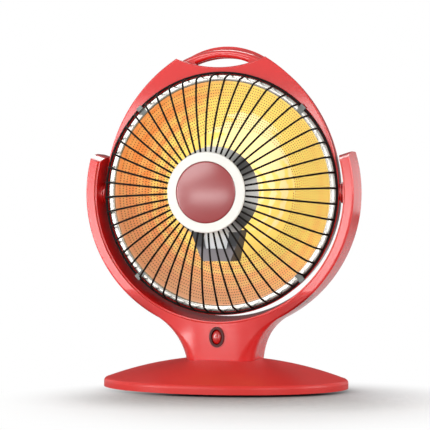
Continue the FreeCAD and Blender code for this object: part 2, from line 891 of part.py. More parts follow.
def build_yoke():
    """Makes the hollow fork in three mouldings, with its screws."""
    wall = mm("yoke_wall")
    outer, inner = mm("yoke_outer_radius"), mm("yoke_inner_radius")
    parting = -mm("pivot_forward")
    front = parting - mm("arm_front_lead")
    rear = parting + mm("arm_rear_lag")
    high = mm("pivot_height")
    foot = mm("neck_foot_height")
    lift = Vector(0, 0, high)
    back = Vector(0, 1, 0)
    up = Vector(0, 0, 1)

    corner = mm("arm_edge_round")
    narrow = inner - mm("arm_inner_fall")
    fork = turned_fork((
        (inner, front),
        (outer - corner, front, corner, 1),
        (outer, front + corner),
        (outer, rear - corner, corner, 1),
        (outer - corner, rear),
        (narrow + corner, rear, corner, 1),
        (narrow, rear - corner),
        (inner, front + corner),
    ), mm("arm_end_angle"))
    neck = neck_loft(0.0, foot)
    boss_spot = up * mm("grommet_height")
    cord_boss = rod(mm("grommet_boss"), boss_spot + back * mm("grommet_boss_root"),
                    boss_spot + back * mm("grommet_boss_reach"))
    body = fused([fork, neck, cord_boss])
    body = body.cut([head_room(inner, front, rear, corner)]
                    + arm_end_wedges(inner, outer, front, parting))
    right = Vector(1, 0, 0)
    axis = lift + back * parting
    pads = [rod(mm("trunnion_radius"), axis + right * side * (inner - mm("pivot_pad")),
                axis + right * side * (inner + wall / 2.0)) for side in (-1, 1)]
    body = fused([body] + pads)

    ease = math.degrees((wall + mm("arm_end_drop")) / inner)
    hollow_fork = turned_fork((
        (inner + wall, front + wall),
        (outer - wall, front + wall),
        (outer - wall, rear - wall),
        (narrow + wall, rear - wall),
    ), mm("arm_end_angle") - ease)
    hollow_neck = neck_loft(mm("neck_wall"), foot + mm("neck_floor"))
    hollow_neck = hollow_neck.cut(rod(inner + wall, lift - back * FAR, lift + back * FAR))
    shell = body.cut(hollow_fork).cut(hollow_neck)

    seat = parting + mm("yoke_screw_seat")
    shank = mm("yoke_screw_shank")
    tip = seat - mm("yoke_screw_length")
    bosses = []
    tools = []
    for spot in yoke_screw_spots():
        bosses.append(rod(mm("yoke_screw_boss"), spot + back * (front + wall / 2.0),
                          spot + back * THROUGH))
        tools.append(rod(mm("yoke_screw_head") + HEAD_ROOM, spot + back * seat,
                         spot + back * THROUGH))
        tools.append(rod(shank + TOUCH, spot + back * (tip - SPARE_DEPTH), spot + back * seat))
    shell = fused([shell] + [boss.common(body) for boss in bosses])
    reach = outer - wall - BORE_STOP
    tools.append(rod(mm("journal_radius") + mm("running_gap"), axis - right * reach,
                     axis + right * reach))
    lip = mm("switch_lip") - DROP_IN
    eye = back * (front - CLEAR) + up * mm("switch_height")
    oval_line = Part.Ellipse(eye + up * (mm("switch_half_height") - lip),
                             eye + right * (mm("switch_half_width") - lip), eye)
    tools.append(Part.Face(Part.Wire(oval_line.toShape())).extrude(
        back * (SWITCH_HOLE_DEPTH + CLEAR)))
    tools.append(rod(mm("grommet_seat") + TOUCH, boss_spot, boss_spot + back * THROUGH))
    under = foot - CLEAR
    over = foot - mm("socket_floor") + mm("neck_screw_length") + SPARE_DEPTH
    for spot in neck_screw_spots():
        tools.append(rod(mm("screw_pilot"), spot + up * under, spot + up * over))
    tools.append(rod(mm("wire_hole_radius"), up * under, up * over))
    shell = shell.cut(tools)

    split = mm("cover_top_height")
    front_box = Part.makeBox(2 * FAR, FAR, 2 * FAR, Vector(-FAR, parting - FAR, -FAR))
    rear_box = Part.makeBox(2 * FAR, FAR, FAR, Vector(-FAR, parting, split))
    cover_box = Part.makeBox(2 * FAR, FAR, FAR, Vector(-FAR, parting, split - FAR))
    solid("yoke_front_shell", shell.common(front_box))
    solid("yoke_rear_shell", shell.common(rear_box))
    solid("neck_rear_cover", shell.common(cover_box))

    screws = []
    for spot in yoke_screw_spots():
        under = spot + back * seat
        screws.append(fused([rod(mm("yoke_screw_head"), under,
                                 under + back * mm("screw_head_height")),
                             rod(shank, spot + back * tip, under)]))
    solid("yoke_screws", Part.makeCompound(screws))
    screws = []
    for spot in neck_screw_spots():
        under = spot + up * (foot - mm("socket_floor"))
        screws.append(fused([rod(mm("screw_head"), under - up * mm("screw_head_height"), under),
                             rod(mm("screw_pilot") - TOUCH, under,
                                 under + up * mm("neck_screw_length"))]))
    solid("neck_screws", Part.makeCompound(screws))


def build_grommet():
    """Makes the rubber grommet where the cord enters the neck."""
    body = new_body("cord_grommet")
    face = size("grommet_boss_reach")
    profile = outline(sketch_on(body, "cord_grommet_profile", "XY_Plane"), (
        (size("grommet_bore"), face - size("grommet_length")),
        (size("grommet_seat"), face - size("grommet_length")),
        (size("grommet_seat"), face + TOUCH),
        (size("grommet_flange"), face + TOUCH),
        (size("grommet_flange") - size("grommet_taper"), face + size("grommet_lip")),
        (size("grommet_bore"), face + size("grommet_lip")),
    ))
    revolve(body, "cord_grommet_turn", profile)
    place(body, 0.0, 0.0, size("grommet_height"))


RIM_BITE = 0.2
WAYS = 3


def build_switch():
    """Makes the rocker switch on the front of the neck."""
    face = -size("pivot_forward") - size("arm_front_lead")
    high = size("switch_height")
    proud = size("switch_rim_proud")
    upright_turn = Rotation(Vector(0, 0, 1), Vector(1, 0, 0), Vector(0, 1, 0), "ZXY")
    rim = oval("switch_rim", size("switch_half_height"), size("switch_half_width"), proud,
               0.0, face - proud, high, upright_turn)
    lip = size("switch_lip")
    block = oval("switch_block", size("switch_half_height") - lip, size("switch_half_width") - lip,
                 size("switch_body_depth"), 0.0, face - RIM_BITE, high, upright_turn)
    whole = fuse("switch_whole", rim, block)
    gap = size("rocker_gap")
    well = oval("switch_well", size("rocker_half_height") + gap, size("rocker_half_width") + gap,
                size("rocker_pocket"), 0.0, face - proud, high, upright_turn)
    pin_end = size("rocker_half_width") + size("rocker_pin_end")
    pin_level = face + size("rocker_pin_depth")
    pin_hole = cylinder("switch_pin_hole", size("rocker_pin_radius") + TOUCH,
                        (pin_end + HEAD_ROOM) * 2.0, -pin_end - HEAD_ROOM, pin_level, high,
                        ALONG_RIGHT)
    cut("switch_housing", whole, well, pin_hole)

    blade_root = face + size("switch_body_depth") - RIM_BITE
    blades = []
    for number in range(WAYS):
        level = high + size("blade_pitch") * (number - 1) - size("blade_sheet") / 2.0
        blades.append(box(f"switch_blade_{number}", size("blade_width"), size("blade_length"),
                          size("blade_sheet"), 0.0, blade_root + size("blade_length") / 2.0, level))
    group("switch_terminals", *blades)

    rocker_face = size("rocker_rear") - size("rocker_depth")
    lens = oval("rocker_blank", size("rocker_half_height"), size("rocker_half_width"),
                size("rocker_depth"), 0.0, rocker_face, 0.0, upright_turn)
    crown = cylinder("rocker_crown", size("rocker_crown_radius"), THROUGH, -THROUGH / 2.0,
                     size("rocker_crown_radius") + rocker_face, 0.0, ALONG_RIGHT)
    button = common("rocker_button", lens, crown)
    pivot = cylinder("rocker_pin", size("rocker_pin_radius"), pin_end * 2.0, -pin_end, 0.0, 0.0,
                     ALONG_RIGHT)
    rocker = fuse("switch_rocker", button, pivot)
    lean = Rotation(Vector(1, 0, 0), -mm("rocker_lean"))
    place(rocker, 0.0, pin_level, high, lean)


def build_tip_switch():
    """Makes the tip-over switch and the plunger that the floor pushes up."""
    back = size("tip_set_back")
    plate = size("foot_height") + size("plate_thickness")
    top = size("plunger_top")
    flange_top = size("plunger_flange_height") + size("plunger_flange_thickness")
    body = new_body("tip_plunger")
    profile = outline(sketch_on(body, "tip_plunger_profile", "XZ_Plane"), (
        (0.0, 0.0),
        (size("plunger_radius") - size("plunger_chamfer"), 0.0),
        (size("plunger_radius"), size("plunger_chamfer")),
        (size("plunger_radius"), size("plunger_flange_height")),
        (size("plunger_flange"), size("plunger_flange_height")),
        (size("plunger_flange"), flange_top),
        (size("plunger_pin"), flange_top),
        (size("plunger_pin"), top),
        (0.0, top),
    ))
    revolve(body, "tip_plunger_turn", profile)
    place(body, 0.0, back, 0.0)
    case = box("tip_case", size("tip_body_length"), size("tip_body_depth"), size("tip_body_height"),
               0.0, back, top + DROP_IN)
    legs = []
    for number, side in enumerate((-1, 1)):
        legs.append(box(f"tip_leg_{number}", size("tip_leg_width"), size("tip_body_depth"),
                        top + DROP_IN + HEAD_ROOM - plate,
                        (size("tip_body_length") - size("tip_leg_width")) / 2.0 * side, back, plate))
    fuse("tip_switch", case, *legs)
    aside = -size("terminal_aside")
    deep = size("terminal_depth")
    strip = box("terminal_strip", size("terminal_length"), deep, size("terminal_height"),
                aside, size("terminal_set_back"), plate)
    ways = []
    for number in range(WAYS):
        ways.append(cylinder(f"terminal_way_{number}", size("terminal_way_radius"), deep + 2.0 * CLEAR,
                             aside + size("terminal_way_pitch") * (number - 1),
                             size("terminal_set_back") - deep / 2.0 - CLEAR,
                             plate + size("terminal_height") / 2.0, ALONG_BACK))
    cut("terminal_block", strip, *ways)


# Head, modelled about the pivot


def hood_corners(radius, spread, shoulder, dip):
    """Gives the outline of the bezel with its hood, a dip between the shoulders."""
    side = chord_radius(shoulder, radius - spread)
    hollow = chord_radius(spread, shoulder - dip)
    return (
        (-radius, 0.0, radius, 1),
        (0.0, -radius, radius, 1),
        (radius, 0.0, side, 1),
        (spread, shoulder, hollow, -1),
        (-spread, shoulder, side, 1),
    )


SHOULDER_PULL = 0.1
SHOULDER_DROP = 1.2
FLANGE_ROOM = 0.4
ARC_EASE = 1.001
HEAD_SCREW_ANGLES = (-35.0, -90.0, -145.0)


def head_screw_spots():
    """Gives the places of the screws that close the head, across and up."""
    spots = []
    for angle in HEAD_SCREW_ANGLES:
        turn = math.radians(angle)
        spots.append((size("head_screw_ring") * math.cos(turn),
                      size("head_screw_ring") * math.sin(turn)))
    turn = math.radians(mm("hood_screw_angle"))
    for side in (1.0, -1.0):
        spots.append((size("hood_screw_ring") * (side * math.cos(turn)),
                      size("hood_screw_ring") * math.sin(turn)))
    return spots


def build_bezel():
    """Makes the bezel: drafted hood, handle bow, dish seat and the two trunnions."""
    body = new_body("head_bezel")
    lead = size("bezel_lead")
    depth = size("bezel_depth")
    wall = size("bezel_wall")
    radius = size("bezel_radius")
    spread = size("hood_shoulder_spread")
    shoulder = size("hood_shoulder_height")
    dip = size("hood_dip_height")
    grip = outline(sketch_on(body, "handle_face", "XZ_Plane", lead - size("handle_set_back")),
                   handle_corners())
    extrude(body, "Pad", "handle_bow", grip, depth - size("handle_set_back"), back=True)
    doc.recompute()
    bow = -mm("bezel_lead") + mm("handle_set_back")
    root = mm("handle_hole_corner") - SPARE_DEPTH

    def on_bow_edge(point):
        return abs(point.y - bow) < ON_FACE and point.z > root

    soften(body, "handle_edge_round", on_bow_edge, size("handle_edge"))
    flare = outline(sketch_on(body, "handle_flare", "XZ_Plane", lead - depth), flare_corners())
    extrude(body, "Pocket", "handle_flare_cut", flare,
            depth - size("handle_set_back") - size("handle_bar"), back=True)
    face = outline(sketch_on(body, "bezel_face", "XZ_Plane", lead),
                   hood_corners(radius, spread, shoulder, dip))
    extrude(body, "Pad", "bezel_block", face, depth, back=True, draft=-size("bezel_draft"))
    room = outline(sketch_on(body, "bezel_room", "XZ_Plane", lead - wall),
                   hood_corners(radius - wall, spread - wall * SHOULDER_PULL,
                                shoulder - wall * SHOULDER_DROP, dip - wall))
    extrude(body, "Pocket", "bezel_hollow", room, depth, draft=-size("bezel_draft"))
    mouth = ring(sketch_on(body, "bezel_mouth", "XZ_Plane", lead), 0.0, 0.0, size("bezel_opening"))
    extrude(body, "Pocket", "bezel_opening_cut", mouth, depth)
    seat = ring(sketch_on(body, "bezel_seat", "XZ_Plane", lead), 0.0, 0.0,
                size("dish_flange_radius") + FLANGE_ROOM)
    extrude(body, "Pocket", "bezel_seat_cut", seat, lead - size("dish_flange_lead") + size("dish_sheet"))
    posts = sketch_on(body, "bezel_posts", "XZ_Plane", lead - wall + SPARE_DEPTH)
    for across, high in head_screw_spots():
        ring(posts, across, high, size("head_screw_boss"))
    extrude(body, "Pad", "bezel_post_pads", posts, depth - wall + SPARE_DEPTH, back=True)
    inner = size("yoke_inner_radius")
    hidden = inner + size("yoke_wall")
    root_end = size("dish_flange_radius") + FLANGE_ROOM + HEAD_ROOM
    collar = radius + SPARE_DEPTH
    shoulder_end = inner - size("pivot_pad") - size("trunnion_gap")
    groove_end = hidden + size("journal_groove")
    flange_end = groove_end + size("journal_flange_thickness")
    for side, name in ((1.0, "right"), (-1.0, "left")):
        corners = [
            (root_end, size("journal_bore")),
            (root_end, size("trunnion_neck")),
            (collar, size("trunnion_neck")),
            (collar, size("trunnion_radius")),
            (shoulder_end, size("trunnion_radius")),
            (shoulder_end, size("journal_radius")),
            (groove_end, size("journal_radius")),
            (groove_end, size("journal_flange")),
            (flange_end, size("journal_flange")),
            (flange_end, size("journal_bore")),
        ]
        profile = outline(sketch_on(body, f"trunnion_{name}", "XY_Plane"),
                          [(across * side, high) for across, high in corners])
        revolve(body, f"trunnion_{name}_turn", profile, "H_Axis")
    bore = ring(sketch_on(body, "trunnion_bore", "YZ_Plane"), 0.0, 0.0, size("journal_bore"))
    extrude(body, "Pocket", "trunnion_bore_cut", bore, (flange_end + CLEAR) * 2.0, both=True)
    holes = sketch_on(body, "bezel_post_holes", "XZ_Plane", lead - depth)
    for across, high in head_screw_spots():
        ring(holes, across, high, size("head_screw_shank") + TOUCH)
    extrude(body, "Pocket", "bezel_post_cuts", holes,
            size("head_screw_length") - size("rear_flange_thickness") + SPARE_DEPTH, back=True)
    doc.recompute()
    front = -mm("bezel_lead")
    rim = mm("dish_flange_radius") + FLANGE_ROOM + SPARE_DEPTH

    def on_front_edge(point):
        return abs(point.y - front) < ON_FACE and math.hypot(point.x, point.z) > rim

    soften(body, "bezel_edge_round", on_front_edge, size("bezel_edge"))
    on_head(body)
    spacers = []
    thick = size("washer_thickness")
    play = (size("journal_groove") - thick) / 2.0
    for name, start in (("right", hidden + play), ("left", -hidden - play - thick)):
        disc = cylinder(f"washer_disc_{name}", size("journal_flange"), thick, start,
                        -size("pivot_forward"), size("pivot_height"), ALONG_RIGHT)
        eye = cylinder(f"washer_eye_{name}", size("journal_radius") + DROP_IN, thick + 2.0 * CLEAR,
                       start - CLEAR, -size("pivot_forward"), size("pivot_height"), ALONG_RIGHT)
        spacers.append(cut(f"washer_{name}", disc, eye))
    group("friction_washers", *spacers)


def handle_corners():
    """Gives the outline of the carry handle's front bow."""
    spread = size("handle_spread")
    root = size("handle_root_height")
    top = size("handle_top_height")
    hole = size("handle_hole_spread")
    corner = size("handle_hole_corner")
    crest = size("handle_hole_height")
    sink = size("handle_sink")
    return (
        (spread, root, chord_radius(spread, top - root), 1),
        (-spread, root),
        (-spread + CLEAR, root - sink),
        (-hole, corner - sink),
        (-hole, corner, chord_radius(hole, crest - corner), -1),
        (hole, corner),
        (hole, corner - sink),
        (spread - CLEAR, root - sink),
    )


def flare_corners():
    """Gives the outline that widens the handle's opening behind its front bar."""
    spread = size("handle_flare_spread")
    corner = size("handle_hole_corner") + size("handle_lip")
    crest = size("handle_hole_height") + size("handle_lip")
    under = corner - size("handle_sink") - CLEAR
    return (
        (spread, corner, chord_radius(spread, crest - corner), 1),
        (-spread, corner),
        (-spread, under),
        (spread, under),
    )


def build_rear_shell():
    """Makes the rear shell: flange with the rear bow of the handle, vented bowl."""
    body = new_body("head_rear_shell")
    lead = size("bezel_lead")
    depth = size("bezel_depth")
    draft = math.tan(math.radians(mm("bezel_draft")))
    slope = depth * draft
    start = lead - depth
    radius = size("bezel_radius") - slope
    spread = size("hood_shoulder_spread") - slope * SHOULDER_PULL
    shoulder = size("hood_shoulder_height") - slope
    thick = size("rear_flange_thickness")
    bow = size("rear_bow_height")
    side = chord_radius(shoulder, radius - spread)
    plate = outline(sketch_on(body, "rear_plate", "XZ_Plane", start - TOUCH), (
        (-radius, 0.0, radius, 1),
        (0.0, -radius, radius, 1),
        (radius, 0.0, side, 1),
        (spread, shoulder, chord_radius(spread, bow - shoulder), 1),
        (-spread, shoulder, side, 1),
    ))
    extrude(body, "Pad", "rear_flange", plate, thick, back=True)
    wall = size("rear_wall")
    mouth = size("bowl_mouth_radius")
    end = size("bowl_back_radius")
    root = depth - lead + SPARE_DEPTH
    reach = size("bowl_back_reach")
    bulge = size("bowl_bulge_radius")
    bowl = outline(sketch_on(body, "bowl_profile", "XY_Plane"), (
        (0.0, root),
        (mouth, root, bulge, 1),
        (end, reach),
        (0.0, reach),
    ))
    revolve(body, "bowl_turn", bowl)
    room = outline(sketch_on(body, "bowl_room_profile", "XY_Plane"), (
        (0.0, root - CLEAR),
        (mouth - wall, root - CLEAR),
        (mouth - wall, root, bulge - wall, 1),
        (end - wall, reach - wall),
        (0.0, reach - wall),
    ))
    revolve(body, "bowl_room", room, kind="Groove")
    hole = size("handle_flare_spread")
    corner = size("handle_hole_corner") - size("rear_lens_drop")
    lens = outline(sketch_on(body, "rear_lens", "XZ_Plane", start), (
        (-hole, corner, chord_radius(hole, size("rear_lens_sag")), 1),
        (hole, corner, chord_radius(hole, size("handle_hole_height") - corner), 1),
    ))
    extrude(body, "Pocket", "rear_lens_cut", lens, thick + 2.0 * CLEAR)
    holes = sketch_on(body, "rear_screw_holes", "XZ_Plane", start)
    for across, high in head_screw_spots():
        ring(holes, across, high, size("head_screw_shank") + HEAD_ROOM)
    extrude(body, "Pocket", "rear_screw_cuts", holes, thick + 2.0 * CLEAR)
    half = size("vent_width") / 2.0
    slot = outline(sketch_on(body, "vent_slot", "XZ_Plane", -reach - 2.0 * CLEAR), (
        (size("vent_inner"), -half),
        (size("vent_outer"), -half, half * ARC_EASE, 1),
        (size("vent_outer"), half),
        (size("vent_inner"), half, half * ARC_EASE, 1),
    ))
    vents = extrude(body, "Pocket", "vent_cut", slot, reach - root - size("vent_root"), back=True)
    spread_vents = body.newObject("PartDesign::PolarPattern", "vent_ring")
    spread_vents.Originals = [vents]
    spread_vents.Axis = (slot, ["N_Axis"])
    spread_vents.Angle = 360.0
    bind(spread_vents, "Occurrences", size("vent_count"))
    body.Tip = spread_vents
    on_head(body)
    screws = []
    seat = mm("bezel_depth") - mm("bezel_lead") + mm("rear_flange_thickness") + TOUCH
    back = Vector(0, 1, 0)
    for across, high in head_screw_spots():
        under = Vector(across.value, seat, high.value)
        screws.append(fused([rod(mm("head_screw_head"), under,
                                 under + back * mm("head_screw_head_height")),
                             rod(mm("head_screw_shank"), under - back * mm("head_screw_length"),
                                 under)]))
    on_head(solid("head_screws", Part.makeCompound(screws)))


STEP_SHARE = 0.6


def build_dish():
    """Makes the pressed reflector dish with its flat flange."""
    flange = size("dish_flange_radius")
    mouth = size("dish_mouth_radius")
    front = -size("dish_flange_lead")
    sheet_metal = size("dish_sheet")
    step = size("dish_step")
    reach = size("dish_reach")
    bowl = chord_radius(mouth, reach - front - step)
    back_mouth = mouth + sheet_metal
    back_step = front + step + sheet_metal * STEP_SHARE
    back_bowl = chord_radius(back_mouth, reach + sheet_metal - back_step)
    dish = on_head(turned("reflector_dish", (
        (0.0, reach, bowl, -1),
        (mouth, front + step),
        (mouth + size("dish_lip"), front),
        (flange, front),
        (flange, front + sheet_metal),
        (back_mouth + size("dish_lip"), front + sheet_metal),
        (back_mouth, back_step, back_bowl, 1),
        (0.0, reach + sheet_metal),
    )))
    hole = ring(sketch_on(dish, "dish_lead_hole", "XZ_Plane"), 0.0, -size("lead_hole_drop"),
                size("lead_hole_radius"))
    extrude(dish, "Pocket", "dish_lead_cut", hole, reach + 2.0 * CLEAR)


def rim_plane():
    """Gives the depth of the guard rim's centre line from the pivot."""
    return mm("bezel_lead") + mm("guard_rim_wire") + mm("guard_rim_gap")


def wire_path():
    """Makes one guard wire's centre line: straight rise, tight shoulder, long crown."""
    rise = math.radians(mm("guard_rise_angle"))
    shoulder = math.radians(mm("guard_shoulder_angle"))
    end = math.radians(mm("guard_hub_angle"))
    bend = mm("guard_shoulder_bend")

    def swing(first, last):
        return Vector(-(math.sin(first) - math.sin(last)), -(math.cos(last) - math.cos(first)), 0.0)

    straight = Vector(-math.cos(rise), -math.sin(rise), 0.0)
    tight = swing(rise, shoulder) * bend
    crown = swing(shoulder, end)
    whole = Vector(mm("hub_ring_radius") - mm("guard_radius"), -mm("guard_depth"), 0.0) - tight
    spread = straight.x * crown.y - straight.y * crown.x
    run = (whole.x * crown.y - whole.y * crown.x) / spread
    crown_radius = (straight.x * whole.y - straight.y * whole.x) / spread
    start = Vector(mm("guard_radius"), -rim_plane(), 0.0)
    knee = start + straight * run
    turn = knee + tight
    finish = turn + crown * crown_radius
    bend_middle = knee + swing(rise, (rise + shoulder) / 2.0) * bend
    crown_middle = turn + swing(shoulder, (shoulder + end) / 2.0) * crown_radius
    edges = (Part.LineSegment(start, knee).toShape(),
             Part.Arc(knee, bend_middle, turn).toShape(),
             Part.Arc(turn, crown_middle, finish).toShape())
    return Part.Wire(edges), start, straight


CLIPS = 4
CLIP_ROOM = 0.4


def build_guard():
    """Makes the domed wire guard: rim, radial wires, hub ring and clips."""
    turn = ALONG_BACK
    plane = size("bezel_lead") + size("guard_rim_wire") + size("guard_rim_gap")
    for name, radius, wire, lead in (
            ("guard_rim", "guard_radius", "guard_rim_wire", plane),
            ("guard_hub_ring", "hub_ring_radius", "hub_ring_wire", plane + size("guard_depth"))):
        hoop = doc.addObject("Part::Torus", name)
        bind(hoop, "Radius1", size(radius))
        bind(hoop, "Radius2", size(wire))
        place(hoop, 0.0, -size("pivot_forward") - lead, size("pivot_height"), turn)
    path, start, along = wire_path()
    profile = Part.Wire(Part.Circle(start, along, mm("guard_wire")).toShape())
    wire = Part.BRepOffsetAPI.MakePipeShell(path)
    wire.add(profile)
    wire.build()
    wire.makeSolid()
    one = wire.shape()
    back = Vector(0, 1, 0)
    count = round(mm("guard_wire_count"))
    one.rotate(Vector(), back, mm("guard_wire_phase"))
    on_head(solid("guard_wires", Part.makeCompound(copies(one, count, 360.0 / count, Vector(), back))))

    ring_lead = rim_plane()
    wire = mm("guard_rim_wire")
    gauge = mm("clip_sheet")
    base = -mm("dish_flange_lead") - TOUCH
    middle = mm("guard_radius")
    low, high = middle - wire - CLIP_ROOM, middle + wire + HEAD_ROOM
    over = -ring_lead - wire - HEAD_ROOM
    toe = mm("dish_mouth_radius") + mm("clip_toe")
    face = Part.Face(flat_wire((
        (toe, base),
        (low, base),
        (low, over),
        (high, over),
        (high, -ring_lead),
        (high + gauge, -ring_lead),
        (high + gauge, over - gauge),
        (low - gauge, over - gauge),
        (low - gauge, base - gauge),
        (toe, base - gauge),
    )))
    width = mm("clip_width")
    face.translate(Vector(0, 0, -width / 2.0))
    clip = face.extrude(Vector(0, 0, width))
    clip.rotate(Vector(), back, mm("clip_angle"))
    on_head(solid("guard_clips", Part.makeCompound(copies(clip, CLIPS, 360.0 / CLIPS, Vector(), back))))


def build_hub():
    """Makes the white hub plate, its bare cap, the clamp behind and its screw."""
    ring_front = -(size("bezel_lead") + size("guard_rim_wire") + size("guard_rim_gap")
                   + size("guard_depth")) - size("hub_ring_wire") - TOUCH
    radius = size("hub_radius")
    cap = size("cap_radius")
    front = ring_front - size("hub_thickness")
    recess = size("cap_recess")
    bore = size("hub_bore")
    edge = size("hub_edge")
    pilot = ring_front - size("hub_pilot_depth")
    on_head(turned("hub_plate", (
        (0.0, front + recess),
        (0.0, pilot),
        (bore, pilot),
        (bore, ring_front),
        (radius - size("hub_back_edge"), ring_front),
        (radius, ring_front - size("hub_back_edge")),
        (radius, front + edge, edge, -1),
        (radius - edge, front),
        (cap + DROP_IN, front),
        (cap + DROP_IN, front + recess),
    )))
    seat = front + recess - TOUCH
    skirt = size("cap_skirt")
    on_head(turned("hub_cap", (
        (0.0, seat),
        (cap, seat),
        (cap, seat - skirt, chord_radius(cap, size("cap_dome") - skirt), -1),
        (0.0, seat - size("cap_dome")),
    )))
    behind = ring_front + size("hub_ring_wire") * 2.0 + 2.0 * TOUCH
    boss = size("clamp_boss")
    rear = behind + size("clamp_sheet")
    shank = bore - TOUCH
    on_head(turned("hub_clamp", (
        (bore, ring_front + TOUCH),
        (boss, ring_front + TOUCH),
        (boss, behind),
        (size("hub_ring_radius"), behind),
        (size("hub_ring_radius"), rear),
        (bore, rear),
    )))
    on_head(turned("hub_screw", (
        (0.0, pilot + TOUCH),
        (shank, pilot + TOUCH),
        (shank, rear + TOUCH),
        (size("hub_screw_head"), rear + TOUCH),
        (size("hub_screw_crown"), rear + size("screw_head_height")),
        (0.0, rear + size("screw_head_height")),
    )))


def build_lamp():
    """Makes the bent lamp with its holder, bracket, shield and strap."""
    plane = -mm("lamp_lead")
    bend = mm("lamp_bend")
    drop = mm("lamp_leg_drop")

    def hoop(radius, foot):
        left, right = Vector(-bend, plane, -foot), Vector(bend, plane, -foot)
        path = Part.Wire((
            Part.LineSegment(left, Vector(-bend, plane, 0)).toShape(),
            Part.Arc(Vector(-bend, plane, 0), Vector(0, plane, bend), Vector(bend, plane, 0)).toShape(),
            Part.LineSegment(Vector(bend, plane, 0), right).toShape()))
        profile = Part.Wire(Part.Circle(left, Vector(0, 0, 1), radius).toShape())
        return path.makePipeShell([profile], True, False)

    outside = mm("lamp_tube_radius")
    tube = hoop(outside, drop).cut(hoop(outside - mm("lamp_tube_wall"), drop))
    on_head(solid("lamp_tube", tube))
    on_head(solid("lamp_filament", hoop(mm("filament_radius"), drop)))

    top = size("lamp_cap_drop")
    caps = []
    for side, name in ((-1.0, "left"), (1.0, "right")):
        caps.append(cylinder(f"lamp_cap_{name}", size("lamp_cap_radius"),
                             top - size("lamp_leg_drop") - TOUCH,
                             size("lamp_bend") * side, -size("pivot_forward") - size("lamp_lead"),
                             size("pivot_height") - top))
    group("lamp_end_caps", *caps)

    sheet_metal = size("bracket_sheet")
    head_y = -size("pivot_forward")
    head_z = size("pivot_height")
    box("lamp_holder", size("holder_half_width") * 2.0, size("holder_depth"),
        size("holder_drop") - top - TOUCH, 0.0,
        head_y - size("lamp_lead"), head_z - size("holder_drop"))

    body = new_body("bracket_blank")
    wide = size("bracket_top_half")
    narrow = size("bracket_foot_half")
    high = -size("bracket_top_drop")
    low = -size("bracket_foot_drop")
    lead = size("lamp_lead") + size("holder_depth") / 2.0 + sheet_metal + HEAD_ROOM
    trapezoid = outline(sketch_on(body, "bracket_face", "XZ_Plane", lead), (
        (-narrow, low), (narrow, low), (wide, high), (-wide, high)))
    extrude(body, "Pad", "bracket_pad", trapezoid, lead + size("dish_reach"), back=True)
    hollow = outline(sketch_on(body, "bracket_hollow", "XZ_Plane", lead - sheet_metal), (
        (-narrow + sheet_metal, low + sheet_metal), (narrow - sheet_metal, low + sheet_metal),
        (wide - sheet_metal, high + CLEAR), (-wide + sheet_metal, high + CLEAR)))
    extrude(body, "Pocket", "bracket_hollow_cut", hollow, lead + size("dish_reach"))
    window = outline(sketch_on(body, "bracket_window", "XZ_Plane", lead), (
        (-size("window_foot_half"), low + size("bracket_sill")),
        (size("window_foot_half"), low + size("bracket_sill")),
        (size("window_top_half"), high + CLEAR), (-size("window_top_half"), high + CLEAR)))
    extrude(body, "Pocket", "bracket_window_cut", window, sheet_metal + HEAD_ROOM)
    mouth = size("dish_mouth_radius")
    depth = size("dish_reach") + size("dish_flange_lead") - size("dish_step")
    bowl = chord_radius(mouth, depth)
    ball = doc.addObject("Part::Sphere", "dish_space")
    bind(ball, "Radius", bowl - 2.0 * TOUCH)
    place(ball, 0.0, size("dish_reach") - bowl, 0.0)
    on_head(common("lamp_bracket", body, ball))

    flat = size("shield_flat")
    rim = size("shield_radius")
    front = -size("shield_lead")
    turn = size("shield_turn")
    gauge = size("shield_sheet")
    round_sheet = turned("shield_round", (
        (0.0, front),
        (0.0, front + gauge),
        (flat, front + gauge),
        (rim, front + turn + gauge),
        (rim, front + turn),
        (flat, front),
    ))
    below = box("shield_below", rim * 2.0, turn * 4.0, rim, 0.0, front + turn,
                -size("shield_foot_drop") - rim)
    on_head(cut("element_shield", round_sheet, below))
    rise = -size("strap_drop")
    near = -lead - TOUCH
    far = front + gauge + TOUCH
    lap = size("strap_lap")
    straps = []
    for side, name in ((-1.0, "left"), (1.0, "right")):
        strap = new_body(f"strap_{name}")
        web = outline(sketch_on(strap, f"strap_profile_{name}", "YZ_Plane",
                                size("strap_spread") * side), (
            (near, high - lap),
            (near, rise),
            (far + gauge, rise),
            (far + gauge, rise + lap),
            (far, rise + lap),
            (far, rise - gauge),
            (near - gauge, rise - gauge),
            (near - gauge, high - lap),
        ))
        extrude(strap, "Pad", f"strap_pad_{name}", web, size("strap_width"), both=True)
        straps.append(on_head(strap))
    group("shield_strap", *straps)

    start = size("dish_reach") + size("dish_sheet") + 2.0 * TOUCH
    tab_wide = size("cutout_tab_width")
    tab_middle = start + size("cutout_height") - SPARE_DEPTH + size("cutout_tab_length") / 2.0
    can = cylinder("cutout_can", size("cutout_radius"), size("cutout_height"),
                   0.0, head_y + start, head_z, ALONG_BACK)
    tabs = []
    for number, side in enumerate((-1.0, 1.0)):
        tabs.append(box(f"cutout_tab_{number}", size("cutout_tab_sheet"), size("cutout_tab_length"),
                        tab_wide, size("cutout_tab_spread") * side, head_y + tab_middle,
                        head_z - tab_wide / 2.0))
    fuse("thermal_cutout", can, *tabs)


LEAD_BEND = 2.4
LEAD_ROOM = 2.0
ARM_LEAD_ANGLES = (10.0, 22.0, 34.0, 46.0, 58.0)


